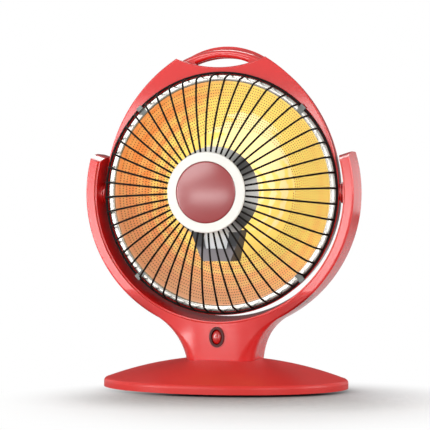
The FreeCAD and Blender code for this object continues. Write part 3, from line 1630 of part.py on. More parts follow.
def cable(name, points, centre):
    """Runs one insulated lead through points about a centre, each corner a round bend."""
    points = [point + centre for point in points]
    radius = mm("lead_radius")
    pieces = []
    start = points[0]
    for index in range(1, len(points)):
        corner = points[index]
        into = (corner - points[index - 1]).normalize()
        if index == len(points) - 1:
            pieces.append(rod(radius, start, corner))
            break
        away = (points[index + 1] - corner).normalize()
        turn = math.acos(max(-1.0, min(1.0, into.dot(away))))
        trim = LEAD_BEND * math.tan(turn / 2.0)
        knee = corner - into * trim
        pieces.append(rod(radius, start, knee))
        axis = into.cross(away).normalize()
        hinge = knee + axis.cross(into) * LEAD_BEND
        end = Part.Face(Part.Wire(Part.Circle(knee, into, radius).toShape()))
        pieces.append(end.revolve(hinge, axis, math.degrees(turn)))
        start = corner + away * trim
    return solid(name, fused(pieces))


def build_leads():
    """Makes the leads: lamp to pivot, pivot to switch and switch to terminal block."""
    pivot = Vector(0, -mm("pivot_forward"), mm("pivot_height"))
    drop = mm("lead_hole_drop")
    start = -mm("lamp_lead") + mm("holder_depth") / 2.0 + 2.0 * TOUCH
    behind = mm("dish_reach") + LEAD_ROOM
    edge = mm("bezel_radius")
    cable("head_lead", (
        Vector(0, start, -drop),
        Vector(0, behind, -drop),
        Vector(60.0, behind - 4.0, -24.0),
        Vector(edge - 18.5, 16.0, -3.0),
        Vector(edge - 8.5, 0.0, 0.0),
        Vector(edge - 1.0, 0.0, 0.0),
    ), pivot)
    middle = (mm("yoke_outer_radius") + mm("yoke_inner_radius")) / 2.0 + 1.4
    path = [Vector(edge + 1.5, 0, 0), Vector(middle, 0, 0)]
    for angle in ARM_LEAD_ANGLES:
        turn = math.radians(angle)
        path.append(Vector(middle * math.cos(turn), 0, -middle * math.sin(turn)))
    foot = mm("switch_height") - mm("pivot_height")
    clear = -mm("arm_front_lead") + mm("switch_body_depth") + mm("blade_length") / 2.0
    path.append(Vector(30.0, clear - SPARE_DEPTH, foot + 8.0))
    beside = mm("blade_width") / 2.0 + mm("lead_radius") + HEAD_ROOM
    path.append(Vector(beside, clear, foot + mm("blade_pitch")))
    cable("arm_lead", path, pivot)
    blade_end = -mm("pivot_forward") - mm("arm_front_lead") + mm("switch_body_depth") + mm("blade_length")
    low_blade = mm("switch_height") - mm("blade_pitch")
    aside = -mm("terminal_aside")
    block_front = mm("terminal_set_back") - mm("terminal_depth") / 2.0
    way = mm("foot_height") + mm("plate_thickness") + mm("terminal_height") / 2.0
    cable("base_lead", (
        Vector(0, blade_end, low_blade),
        Vector(0, blade_end + 5.0, low_blade),
        Vector(0, 1.0, 15.0),
        Vector(aside, block_front - 6.0, way + 3.0),
        Vector(aside, block_front - HEAD_ROOM, way),
    ), Vector())


NODES = (
    "base_top_shell", "base_bottom_plate", "rubber_feet", "base_screws", "ballast_plate",
    "yoke_front_shell", "yoke_rear_shell", "neck_rear_cover", "yoke_screws", "neck_screws",
    "cord_grommet", "switch_housing", "switch_terminals", "switch_rocker",
    "tip_plunger", "tip_switch", "terminal_block", "friction_washers",
    "head_bezel", "head_rear_shell", "head_screws", "reflector_dish",
    "guard_rim", "guard_wires", "guard_hub_ring", "guard_clips",
    "hub_plate", "hub_cap", "hub_clamp", "hub_screw",
    "lamp_tube", "lamp_filament", "lamp_end_caps", "lamp_holder", "lamp_bracket",
    "element_shield", "shield_strap", "thermal_cutout",
    "head_lead", "arm_lead", "base_lead",
)

build_base()
build_yoke()
build_grommet()
build_switch()
build_tip_switch()
build_bezel()
build_rear_shell()
build_dish()
build_guard()
build_hub()
build_lamp()
build_leads()
doc.recompute()

problems = []
for item in doc.Objects:
    if "Invalid" in item.State or "Error" in item.State:
        problems.append(f"{item.Name} {item.State}")
for node in NODES:
    shape = doc.getObject(node).Shape
    if shape.isNull() or not shape.isValid() or not shape.Solids:
        problems.append(f"{node} has no valid solid")
if problems:
    raise RuntimeError("; ".join(problems))

os.makedirs("parts", exist_ok=True)
for node in NODES:
    shape = doc.getObject(node).Shape
    shape.exportStep(f"parts/{node}.step")
    extent = shape.BoundBox
    print(f"{node}: {len(shape.Solids)} solids, {shape.Volume / 1000.0:.2f} cm3,"
          f" x {extent.XMin:.1f} {extent.XMax:.1f} y {extent.YMin:.1f} {extent.YMax:.1f}"
          f" z {extent.ZMin:.1f} {extent.ZMax:.1f}")
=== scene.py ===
"""Looks of the tilting dish heater: red mouldings, embossed dish, domed wire guard and quartz lamp."""

import logging
import math
from collections.abc import Callable, Iterable, Sequence
from dataclasses import dataclass
from enum import Enum
from functools import partial
from typing import Any, ClassVar

import bmesh
import bpy
from bmesh.types import BMesh
from bpy.types import Material, Mesh, Node, NodeSocket, NodeTree, Object
from mathutils import Matrix, Quaternion, Vector

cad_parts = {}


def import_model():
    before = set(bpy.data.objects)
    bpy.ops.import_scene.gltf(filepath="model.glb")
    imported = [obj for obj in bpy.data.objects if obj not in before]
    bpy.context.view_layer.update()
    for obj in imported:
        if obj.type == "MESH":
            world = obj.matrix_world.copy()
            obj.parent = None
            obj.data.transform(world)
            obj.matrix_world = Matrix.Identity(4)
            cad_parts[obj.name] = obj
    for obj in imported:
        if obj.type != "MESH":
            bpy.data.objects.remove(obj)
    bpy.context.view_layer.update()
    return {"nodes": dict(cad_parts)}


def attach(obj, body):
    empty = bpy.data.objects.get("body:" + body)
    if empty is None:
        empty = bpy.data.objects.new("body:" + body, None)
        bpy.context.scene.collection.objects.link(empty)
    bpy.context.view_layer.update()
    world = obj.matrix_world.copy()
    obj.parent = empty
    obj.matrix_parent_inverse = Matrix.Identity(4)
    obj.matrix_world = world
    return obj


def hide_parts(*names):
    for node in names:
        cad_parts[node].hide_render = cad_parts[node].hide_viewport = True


LOG = logging.getLogger("dish_heater")

Point = tuple[float, float, float]
Pair = tuple[float, float]
Inputs = dict[str, Any] | Sequence[Any]
Adder = Callable[..., Node]

MM = 0.001
FULL_TURN = 2.0 * math.pi
QUARTER_TURN = math.pi / 2.0
# Corners nearer to each other than this are one.
DOUBLE = 0.002 * MM
# Middle of the head, on the axis that it tilts about.
PIVOT: Point = (0.0, -0.009, 0.197)
# Keeps what lies across the mouth of the dish and drops its depth.
ACROSS_MOUTH: Point = (1.0, 0.0, 1.0)
WHITE_LIGHT = "#ffffff"

# Node types that most trees use.
MATH = "ShaderNodeMath"
VECTOR = "ShaderNodeVectorMath"
RANGE = "ShaderNodeMapRange"
MIX = "ShaderNodeMix"
NOISE = "ShaderNodeTexNoise"
SPLIT = "ShaderNodeSeparateXYZ"
COMBINE = "ShaderNodeCombineXYZ"
SCATTER = "GeometryNodeInstanceOnPoints"


class Body(str, Enum):
    """The bodies that the added pieces ride on."""

    STAND = "stand"
    HEAD = "head"
    ROCKER = "rocker"


class Slot(str, Enum):
    """Material slots of the record that the added pieces take their finish from."""

    REFLECTOR = "reflector"
    CERAMIC = "lamp_ceramic"
    STEEL = "polished_steel"
    GUARD = "guard_black"
    SCREW = "screw_steel"
    ROCKER = "rocker_red"
    FILAMENT = "filament"
    CAP = "cap_red"


def linear(code: str) -> tuple[float, float, float, float]:
    """Turns an sRGB hex colour into linear light.

    Args:
        code: Colour as "#rrggbb".

    Returns:
        Linear red, green, blue and an alpha of one.
    """
    parts = [int(code[start:start + 2], 16) / 255.0 for start in (1, 3, 5)]
    red, green, blue = (
        part / 12.92 if part <= 0.04045 else ((part + 0.055) / 1.055) ** 2.4 for part in parts
    )
    return red, green, blue, 1.0


def per_metre(millimetres: float) -> float:
    """Gives the texture scale at which one noise cell spans the given millimetres."""
    return 1.0 / (millimetres * MM)


def feed(node: Node, inputs: Inputs) -> Node:
    """Fills or links the inputs of a node.

    Args:
        node: Node that takes them.
        inputs: Values by socket name, or in the order of the sockets in use. A socket is linked,
            and of a node the first output in use is.

    Returns:
        The same node.
    """
    if isinstance(inputs, dict):
        rows = [(node.inputs[name], value) for name, value in inputs.items()]
    else:
        rows = list(zip([socket for socket in node.inputs if socket.enabled], inputs))
    for socket, value in rows:
        if isinstance(value, Node):
            value = next(output for output in value.outputs if output.enabled)
        if isinstance(value, NodeSocket):
            node.id_data.links.new(value, socket)
        else:
            socket.default_value = value
    return node


def add_node(tree: NodeTree, kind: str, inputs: Inputs = (), **settings: Any) -> Node:
    """Adds a node with its settings and its inputs.

    Args:
        tree: Node tree that takes the node.
        kind: Blender's name of the node type.
        inputs: Its inputs, as feed takes them.
        **settings: Properties of the node itself.

    Returns:
        The new node.
    """
    made = tree.nodes.new(kind)
    for name, value in settings.items():
        setattr(made, name, value)
    return feed(made, inputs)


def shade_stops(ramp: Node, stops: Sequence[tuple[float, str]]) -> None:
    """Sets the tones of a colour ramp.

    Args:
        ramp: The colour ramp.
        stops: Position and colour of each stop, from 0 to 1.
    """
    elements = ramp.color_ramp.elements
    elements[0].color = linear(stops[0][1])
    elements[1].color = linear(stops[-1][1])
    for position, code in stops[1:-1]:
        elements.new(position).color = linear(code)


@dataclass(frozen=True)
class Finish:
    """A surface with a slow drift of tone, an uneven polish and a fine grain.

    The real grain of most of these is too fine to show, so it is drawn as coarse as it needs to be.

    Attributes:
        name: The real material.
        colour: Main tone as sRGB hex.
        tone: Second tone that the drift wanders to.
        roughness: Middle roughness.
        uneven: How far the roughness strays to either side.
        metallic: One for bare metal.
        ior: Index of refraction of anything that is not metal.
        specular: Strength of the surface's own reflections, 0.5 for the plain physical level.
        coat: Weight of a clear top layer.
        coat_roughness: Roughness of that layer.
        drift_mm: Size of the patches of tone.
        grain_mm: Size of the grain.
        grain_height_mm: Height of the grain.
    """

    drift_detail: ClassVar[float] = 2.0
    grain_detail: ClassVar[float] = 3.0

    name: str
    colour: str
    tone: str
    roughness: float
    uneven: float = 0.05
    metallic: float = 0.0
    ior: float = 1.5
    specular: float = 0.5
    coat: float = 0.0
    coat_roughness: float = 0.06
    drift_mm: float = 45.0
    grain_mm: float = 1.2
    grain_height_mm: float = 0.004

    def material(self) -> Material:
        """Gives the Blender material, made on first use.

        Returns:
            The material of this finish.
        """
        found = bpy.data.materials.get(self.name)
        if found is not None:
            return found
        made = bpy.data.materials.new(self.name)
        made.use_nodes = True
        add = partial(add_node, made.node_tree)
        shader = feed(made.node_tree.nodes["Principled BSDF"], {
            "Metallic": self.metallic, "Specular IOR Level": self.specular,
            "Coat Weight": self.coat, "Coat Roughness": self.coat_roughness,
        })
        if not self.metallic:
            feed(shader, {"IOR": self.ior})
        place = add("ShaderNodeTexCoord").outputs["Object"]
        self.paint(add, shader, place)
        self.grain(add, shader, place)
        return made

    def paint(self, add: Adder, shader: Node, place: NodeSocket) -> None:
        """Colours the surface with two tones that drift into each other.

        Args:
            add: Adds a node to the material.
            shader: The surface shader.
            place: Object coordinates in metres.
        """
        patches = add(NOISE, {
            "Vector": place, "Scale": per_metre(self.drift_mm), "Detail": self.drift_detail,
        })
        blend = add(MIX, [patches, linear(self.colour), linear(self.tone)], data_type="RGBA")
        feed(shader, {"Base Color": blend})

    def grain(self, add: Adder, shader: Node, place: NodeSocket) -> None:
        """Gives the surface its uneven polish and its grain.

        Args:
            add: Adds a node to the material.
            shader: The surface shader.
            place: Object coordinates in metres.
        """
        fine = add(NOISE, {
            "Vector": place, "Scale": per_metre(self.grain_mm), "Detail": self.grain_detail,
        })
        smoothest, roughest = self.roughness - self.uneven, self.roughness + self.uneven
        polish = add(RANGE, [fine, 0.0, 1.0, smoothest, roughest])
        bump = add("ShaderNodeBump", {"Height": fine, "Distance": self.grain_height_mm * MM})
        crown = self.crown(add, place)
        if crown is not None:
            feed(bump, {"Normal": crown})
        feed(shader, {"Roughness": polish, "Normal": bump})

    def crown(self, add: Adder, place: NodeSocket) -> Node | None:
        """Gives the normal of a gently crowned face, or None for a face that is as modelled."""
        return None


@dataclass(frozen=True)
class CrownedFinish(Finish):
    """A moulded face that rounds off gently to one side or to both.

    Attributes:
        swell_mm: Radius of the rounding.
        across: Direction in which the face falls away.
        start: Distance along it, in metres, at which the rounding begins.
        both: Whether the face falls away in the opposite direction too.
        full_z: Height in metres below which the rounding is whole.
        flat_z: Height in metres above which the face is flat.
    """

    swell_mm: float = 400.0
    across: Point = (1.0, 0.0, 0.0)
    start: float = 0.0
    both: bool = False
    full_z: float = 1.0
    flat_z: float = 2.0

    def crown(self, add: Adder, place: NodeSocket) -> Node:
        """Bends the light as the rounding of the face does.

        Args:
            add: Adds a node to the material.
            place: Object coordinates in metres.

        Returns:
            The normal of the rounded face.
        """
        along = add(VECTOR, [place, self.across], operation="DOT_PRODUCT")
        if self.both:
            along = add(MATH, [along], operation="ABSOLUTE")
        past = add(MATH, [along, self.start], operation="SUBTRACT")
        reach = add(MATH, [past, 0.0], operation="MAXIMUM")
        square = add(MATH, [reach, reach], operation="MULTIPLY")
        high = add(SPLIT, [place]).outputs["Z"]
        # The face follows a parabola that has the rounding's radius at its top.
        fall = -0.5 / (self.swell_mm * MM)
        share = add(
            RANGE, [high, self.full_z, self.flat_z, fall, 0.0], interpolation_type="SMOOTHSTEP"
        )
        height = add(MATH, [square, share], operation="MULTIPLY")
        return add("ShaderNodeBump", {"Height": height, "Distance": 1.0})


@dataclass(frozen=True)
class PaintedFootHighlightFinish(Finish):
    """A surface with a painted highlight: its foot is paler than the rest where it faces the front.

    Attributes:
        foot: Painted highlight tone of the foot.
        foot_z: Height in metres up to which the foot reaches.
        fade_mm: Height of the change.
        facing: How much a face has to turn to the front to begin to be paler, and to be wholly so.
    """

    foot: str = "#8f8b8f"
    foot_z: float = 0.1405
    fade_mm: float = 4.0
    facing: Pair = (0.3, 0.8)

    def paint(self, add: Adder, shader: Node, place: NodeSocket) -> None:
        """Colours the surface and paints a highlight on its foot.

        Args:
            add: Adds a node to the material.
            shader: The surface shader.
            place: Object coordinates in metres.
        """
        super().paint(add, shader, place)
        body = shader.inputs["Base Color"].links[0].from_socket
        high = add(SPLIT, [place]).outputs["Z"]
        low = add(RANGE, [high, self.foot_z, self.foot_z + self.fade_mm * MM, 1.0, 0.0])
        # Painted highlight: faces turned to the front are paler at the foot.
        normal = add("ShaderNodeTexCoord").outputs["Normal"]
        begins, whole = self.facing
        toward = add(RANGE, [add(SPLIT, [normal]).outputs["Y"], -begins, -whole])
        front = add(MATH, [low, toward], operation="MULTIPLY")
        blend = add(MIX, [front, body, linear(self.foot)], data_type="RGBA")
        feed(shader, {"Base Color": blend})


@dataclass(frozen=True)
class GlowPaintedReflector(Finish):
    """Pressed aluminium with the lamp's glow painted on: pale yellow inside and to the right, orange
    to the left.

    Attributes:
        pale: Painted glow tone nearest the lamp.
        edge: Tone at the mouth's warm side.
        stops: Warmth at which the main tone begins and ends, and at which the second is reached.
        near: Distance from the axis in metres at which the tones begin to change.
        far: Distance from the axis in metres at which the change ends.
        warmth: Warmth at these two distances.
        warm_side: Direction of the orange side, with a length that says how fast it warms.
        spot: Middle of the painted glow's palest part.
        spot_radius: Radius of that part in metres.
        spot_warmth: What its middle adds to the warmth.
        arc_mm: Distance between the broken arcs.
        arc_depth: How much the warmth changes from arc to arc, on the pale and on the warm side.
        arc_side: Warmth of the side at which these two depths are reached.
        blotch_mm: Size of the blotches that break the arcs.
        blotch_shift: Radians by which a blotch shifts an arc.
        foot: Painted light tone that the lowest part takes.
        foot_reach: Heights from the axis in metres between which the foot comes in.
        foot_share: Share of that tone at the foot.
        dusk: Painted shade tone of the edge that the lamp reaches least.
        dusk_side: Direction of that edge.
        dusk_reach: Distances in metres along it between which the dusk comes in.
        dusk_share: Share of the dusk at the edge.
        pit: Painted shade tone at the bottom of a hollow.
        shade: Share of the painted tone and glow that a hollow keeps, the rest being painted shade.
        glow: Strength of the painted glow that the sheet itself sends out, at the near and at the far
            distance.
    """

    pale: str = "#f6e9ac"
    edge: str = "#ec9048"
    stops: Point = (0.06, 0.40, 0.72)
    near: float = 0.050
    far: float = 0.110
    warmth: Pair = (0.17, 0.78)
    warm_side: Point = (-2.8, 0.0, -1.2)
    spot: Point = (0.018, 0.0, 0.070)
    spot_radius: float = 0.072
    spot_warmth: float = -0.36
    arc_mm: float = 13.0
    arc_depth: Pair = (0.02, 0.24)
    arc_side: float = 0.33
    blotch_mm: float = 10.0
    blotch_shift: float = 7.0
    foot: str = "#dda884"
    foot_reach: Pair = (-0.05, -0.105)
    foot_share: float = 0.70
    dusk: str = "#b48a74"
    dusk_side: Point = (-0.75, 0.0, -0.66)
    dusk_reach: Pair = (0.045, 0.112)
    dusk_share: float = 0.55
    pit: str = "#5a2c12"
    shade: float = 1.0
    glow: Pair = (0.48, 0.26)

    def paint(self, add: Adder, shader: Node, place: NodeSocket) -> None:
        """Paints the lamp's glow over the dish as tones by distance and side, with broken arcs.

        Args:
            add: Adds a node to the material.
            shader: The surface shader.
            place: Object coordinates in metres.
        """
        offset = add(VECTOR, [place, PIVOT], operation="SUBTRACT")
        flat = add(VECTOR, [offset, ACROSS_MOUTH], operation="MULTIPLY")
        away = add(VECTOR, [flat], operation="LENGTH")
        # Painted light: the tones warm outward and toward the orange side, as the glow falls.
        side = add(VECTOR, [flat, self.warm_side], operation="DOT_PRODUCT")
        outward = add(
            RANGE, [away, self.near, self.far, *self.warmth], interpolation_type="SMOOTHSTEP"
        )
        # Painted glow: a pale spot near the lamp.
        lit = add(VECTOR, [flat, self.spot], operation="DISTANCE")
        paler = add(
            RANGE, [lit, 0.0, self.spot_radius, self.spot_warmth, 0.0],
            interpolation_type="SMOOTHSTEP",
        )
        blotches = add(NOISE, {
            "Vector": place, "Scale": per_metre(self.blotch_mm), "Detail": self.grain_detail,
        })
        arcs = add(MATH, [away, FULL_TURN / (self.arc_mm * MM)], operation="MULTIPLY")
        broken = add(MATH, [blotches, self.blotch_shift, arcs], operation="MULTIPLY_ADD")
        wave = add(MATH, [broken], operation="SINE")
        depth = add(RANGE, [side, -self.arc_side, self.arc_side, *self.arc_depth])
        spread = add(MATH, [wave, depth, outward], operation="MULTIPLY_ADD")
        sided = add(MATH, [spread, side], operation="ADD")
        tone = add("ShaderNodeValToRGB", [add(MATH, [sided, paler], operation="ADD")])
        begins, ends, second = self.stops
        shade_stops(tone, [
            (0.0, self.pale), (begins, self.colour), (ends, self.colour), (second, self.tone),
            (1.0, self.edge),
        ])
        low = add(RANGE, [add(SPLIT, [flat]).outputs["Z"], *self.foot_reach, 0.0, self.foot_share])
        toward = add(VECTOR, [flat, self.dusk_side], operation="DOT_PRODUCT")
        dim = add(
            RANGE, [toward, *self.dusk_reach, 0.0, self.dusk_share],
            interpolation_type="SMOOTHSTEP",
        )
        # Painted light at the foot and painted shade at the dusky edge.
        for share, code in ((low, self.foot), (dim, self.dusk)):
            tone = add(MIX, [share, tone, linear(code)], data_type="RGBA")
        # Painted shade: a hollow's tone is drawn toward the dark pit tone.
        shaded = add(MIX, [self.shade, linear(self.pit), tone], data_type="RGBA")
        # Painted glow: the sheet shines by itself, brighter near the lamp and weaker in the hollows.
        inner, outer = self.glow
        painted_glow = add(RANGE, [away, self.near, self.far, inner * self.shade, outer * self.shade])
        feed(shader, {"Base Color": shaded, "Emission Color": shaded, "Emission Strength": painted_glow})


@dataclass(frozen=True)
class SpunPaintedHighlightFinish(Finish):
    """Spun sheet metal with painted reflections: pale highlight wedges to the sides and up and down,
    darker between.

    Attributes:
        wedge: Painted highlight tone inside the wedges.
        stops: Steepness at which the side wedge ends, and at which the two tones are reached.
    """

    wedge: str = "#f4f3ee"
    stops: Point = (0.2, 0.45, 0.72)

    def paint(self, add: Adder, shader: Node, place: NodeSocket) -> None:
        """Paints highlights and shade on the sheet by its direction from the middle.

        Args:
            add: Adds a node to the material.
            shader: The surface shader.
            place: Object coordinates in metres.
        """
        offset = add(VECTOR, [place, PIVOT], operation="SUBTRACT")
        flat = add(VECTOR, [offset, ACROSS_MOUTH], operation="MULTIPLY")
        way = add(VECTOR, [flat], operation="NORMALIZE")
        rise = add(MATH, [add(SPLIT, [way]).outputs["Z"]], operation="ABSOLUTE")
        ramp = add("ShaderNodeValToRGB", [rise])
        ends, main, second = self.stops
        shade_stops(ramp, [
            (0.0, self.wedge), (ends, self.wedge), (main, self.colour), (second, self.tone),
            (1.0, self.wedge),
        ])
        feed(shader, {"Base Color": ramp})


@dataclass(frozen=True)
class ClearFinish(Finish):
    """A clear material that lets light through.

    Attributes:
        clearness: Share of the light that goes in.
    """

    clearness: float = 1.0

    def paint(self, add: Adder, shader: Node, place: NodeSocket) -> None:
        """Tints the material and opens it to light."""
        super().paint(add, shader, place)
        feed(shader, {"Transmission Weight": self.clearness})


@dataclass(frozen=True)
class GlowingFinish(Finish):
    """A material hot enough to shine.

    Attributes:
        glow: Colour of its light.
        strength: Strength of its light.
    """

    glow: str = "#ffb45a"
    strength: float = 6.0

    def paint(self, add: Adder, shader: Node, place: NodeSocket) -> None:
        """Colours the metal and lets it shine."""
        super().paint(add, shader, place)
        feed(shader, {"Emission Color": linear(self.glow), "Emission Strength": self.strength})


class Palette:
    """The finishes of the object."""

    # Gloss moulded ABS: an even deep red whose smooth skin takes wide pale reflections.
    RED = Finish("abs_gloss_red", "#d41d1b", "#cb1a18", 0.15, 0.03, ior=1.54, coat=0.32,
                 coat_roughness=0.14, grain_mm=1.6)
    # The same ABS with a satin skin on the base: softer, with no sharp reflections.
    SATIN = Finish("abs_satin_red", "#d63531", "#cc312e", 0.36, 0.05, ior=1.54, specular=0.25)
    # The gloss ABS on the bezel, whose hood rounds off downward and fades to pink at its ends.
    HOOD = CrownedFinish(
        "abs_gloss_red_hood", "#d41d1b", "#cb1a18", 0.15, 0.03, ior=1.54, coat=0.32,
        coat_roughness=0.14, grain_mm=1.6, swell_mm=750.0, across=(0.0, 0.0, -1.0), start=-0.325,
    )
    # The gloss ABS on the stand's front, with a rounded neck that draws a pale band down its side.
    NECK = CrownedFinish(
        "abs_gloss_red_neck", "#d41d1b", "#cb1a18", 0.21, 0.03, ior=1.54, coat=0.32,
        coat_roughness=0.14, grain_mm=1.6, swell_mm=80.0, start=0.008, both=True, full_z=0.055,
        flat_z=0.10,
    )
    # Clear red polycarbonate: the lens of the rocker, brighter than the frame and wet looking.
    LENS = Finish("polycarbonate_red", "#b8110f", "#a80e0d", 0.12, 0.03, ior=1.58, coat=0.3)
    # Dark nylon of the switch frame: a near black red that sets off the lens.
    SWITCH = Finish("nylon_dark_red", "#4a0d0c", "#3c0a0a", 0.4, 0.06, ior=1.53, specular=0.25)
    # Matte black nylon: the underside and the inner mouldings.
    BLACK = Finish("nylon_black", "#1c1b1b", "#232222", 0.55, 0.08, ior=1.53, grain_mm=0.8,
                   grain_height_mm=0.01)
    # Soft rubber: dull, even and dark.
    RUBBER = Finish("rubber_black", "#161616", "#1e1d1d", 0.8, 0.08, ior=1.52, grain_mm=0.5,
                    grain_height_mm=0.012)
    # Epoxy coated steel wire: dull black with a faint highlight along each wire.
    WIRE = Finish("epoxy_black_wire", "#0c0908", "#120d0b", 0.6, 0.07, specular=0.12, grain_mm=0.9,
                  grain_height_mm=0.006)
    # Pressed aluminium with the lamp's glow painted on and shining from the sheet: orange at the left,
    # pale yellow round the lamp.
    DISH = GlowPaintedReflector("aluminium_pressed", "#f2d874", "#f0ab60", 0.42, 0.08, metallic=0.15,
                         grain_mm=1.4, grain_height_mm=0.02)
    # The same sheet in the pressed hollows, with painted shade: each one a small darker dot.
    HOLLOW = GlowPaintedReflector("aluminium_hollow", "#f2d874", "#f0ab60", 0.5, 0.08, metallic=0.15,
                           grain_mm=0.6, grain_height_mm=0.01, shade=0.36)
    # Bright rolled aluminium: a pale mirror band round the dish, and its back.
    FLANGE = Finish("aluminium_bright", "#c4c1bb", "#787570", 0.26, 0.06, metallic=1.0,
                    drift_mm=30.0, grain_mm=0.8)
    # Spun steel sheet with painted reflections: darker on the slants, a pale highlight wedge to each
    # side and a narrow one up and down.
    SPUN = SpunPaintedHighlightFinish("steel_spun", "#7b7a77", "#464544", 0.45, 0.06, specular=0.3, grain_mm=0.7,
                      grain_height_mm=0.006)
    # Heat blackened steel: a dull oxide skin, dark on the bracket's legs; its foot carries a painted
    # highlight, paler where it faces the front.
    STEEL = PaintedFootHighlightFinish("steel_blackened", "#484a4e", "#5c5d60", 0.72, 0.08, ior=1.6, specular=0.12,
                         drift_mm=14.0, grain_mm=0.7, grain_height_mm=0.006)
    # Plated spring steel: dull mid grey.
    CLIP = Finish("steel_plated", "#6f716f", "#535553", 0.45, 0.09, metallic=0.8, drift_mm=4.0,
                  grain_mm=0.5, grain_height_mm=0.01)
    # Zinc plated screws: bright with a faint warm cast.
    ZINC = Finish("zinc_plate", "#c8c6bd", "#b3b0a6", 0.3, 0.08, metallic=1.0, drift_mm=3.0,
                  grain_mm=0.4, grain_height_mm=0.006)
    # White ABS: clean and softly glossy.
    WHITE = Finish("abs_white", "#dedcd5", "#d8d6cf", 0.35, 0.04, ior=1.54)
    # Gloss cap in a dusty red: pale where it mirrors the light and deeper below.
    CAP = Finish("abs_gloss_dusty_red", "#8c0f12", "#840d10", 0.34, 0.03, ior=1.54, coat=0.9,
                 coat_roughness=0.22)
    # Fused quartz: clear with bright edges.
    QUARTZ = ClearFinish("quartz_clear", "#fbf9f4", "#f4f1ea", 0.04, 0.02, ior=1.46)
    # Tungsten coil: orange white and shining.
    TUNGSTEN = GlowingFinish("tungsten_hot", "#ffcf8a", "#ffb866", 0.4, 0.05, metallic=1.0)
    # Steatite: a chalky white with a cool cast.
    CERAMIC = Finish("steatite", "#eef1f5", "#e6e9ee", 0.5, 0.08, ior=1.6, grain_mm=0.6,
                     grain_height_mm=0.012)
    # Bare rolled iron: dark blue grey with scale.
    IRON = Finish("iron_bare", "#4a4b4e", "#5a5a5b", 0.55, 0.12, metallic=1.0, drift_mm=12.0,
                  grain_mm=1.5, grain_height_mm=0.02)
    # Brass blades: warm yellow metal.
    BRASS = Finish("brass", "#c9a45a", "#b8924a", 0.28, 0.08, metallic=1.0, grain_mm=0.6)
    # Cream polyamide block: plain pale moulding.
    CREAM = Finish("polyamide_cream", "#dcd6c6", "#d2cbb9", 0.45, 0.06, ior=1.53)
    # Silicone sleeve: dull off white lead.
    SLEEVE = Finish("silicone_sleeve", "#d6d2c6", "#c9c4b6", 0.6, 0.06, ior=1.43, grain_mm=0.7,
                    grain_height_mm=0.01)


def new_piece(name: str, mesh: Mesh) -> Object:
    """Puts a mesh into the scene as an object at the origin.

    Args:
        name: Name of the object.
        mesh: Its mesh.

    Returns:
        The new object.
    """
    made = bpy.data.objects.new(name, mesh)
    bpy.context.scene.collection.objects.link(made)
    return made


def seat(piece: Object, body: Body, nodes: Iterable[str] = ()) -> None:
    """Fixes a finished piece to its body and hides the CAD nodes that it replaces.

    Args:
        piece: Finished object.
        body: Body that carries it.
        nodes: CAD nodes that the piece replaces.
    """
    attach(piece, body.value)
    names = tuple(nodes)
    if names:
        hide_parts(*names)
    LOG.info("%s: %d faces on %s", piece.name, len(piece.data.polygons), body.value)


def clean(work: BMesh, name: str) -> Mesh:
    """Merges doubles, turns normals outward and frees the working mesh.

    Args:
        work: Working mesh.
        name: Name of the result.

    Returns:
        A smooth shaded mesh.
    """
    bmesh.ops.remove_doubles(work, verts=work.verts, dist=DOUBLE)
    bmesh.ops.recalc_face_normals(work, faces=work.faces)
    mesh = bpy.data.meshes.new(name)
    work.to_mesh(mesh)
    work.free()
    mesh.shade_smooth()
    return mesh


def slab(work: BMesh, corners: Sequence[Point], depth: Point) -> None:
    """Adds a flat plate to a working mesh.

    Args:
        work: Working mesh.
        corners: Corners of one face in order.
        depth: Step from that face to the opposite one.
    """
    near = [work.verts.new(corner) for corner in corners]
    far = [work.verts.new(Vector(corner) + Vector(depth)) for corner in corners]
    work.faces.new(near)
    work.faces.new(far[::-1])
    for at, corner in enumerate(near):
        after = (at + 1) % len(near)
        work.faces.new((near[after], corner, far[at], far[after]))


def turned(profile: Sequence[Pair], steps: int) -> BMesh:
    """Turns a closed profile about the Y axis.

    Args:
        profile: Radius and Y of each corner, in metres.
        steps: Steps of one turn.

    Returns:
        The turned shape as a working mesh.
    """
    work = bmesh.new()
    corners = [work.verts.new((radius, along, 0.0)) for radius, along in profile]
    edges = [
        work.edges.new((corner, corners[(at + 1) % len(corners)]))
        for at, corner in enumerate(corners)
    ]
    bmesh.ops.spin(
        work, geom=corners + edges, cent=(0.0, 0.0, 0.0), axis=(0.0, 1.0, 0.0), angle=FULL_TURN,
        steps=steps, use_merge=True,
    )
    return work


def finished(
    name: str, work: BMesh, finish: Finish, place: Matrix | None = None, smooth: bool = True
) -> Object:
    """Turns a working mesh into a piece that wears its finish.

    Args:
        name: Name of the piece.
        work: Working mesh, freed here.
        finish: Finish of the piece.
        place: Where the piece goes, if it isn't there yet.
        smooth: Whether its faces shade into each other.

    Returns:
        The piece.
    """
    mesh = clean(work, name)
    if not smooth:
        mesh.shade_flat()
    if place is not None:
        mesh.transform(place)
    mesh.materials.append(finish.material())
    return new_piece(name, mesh)


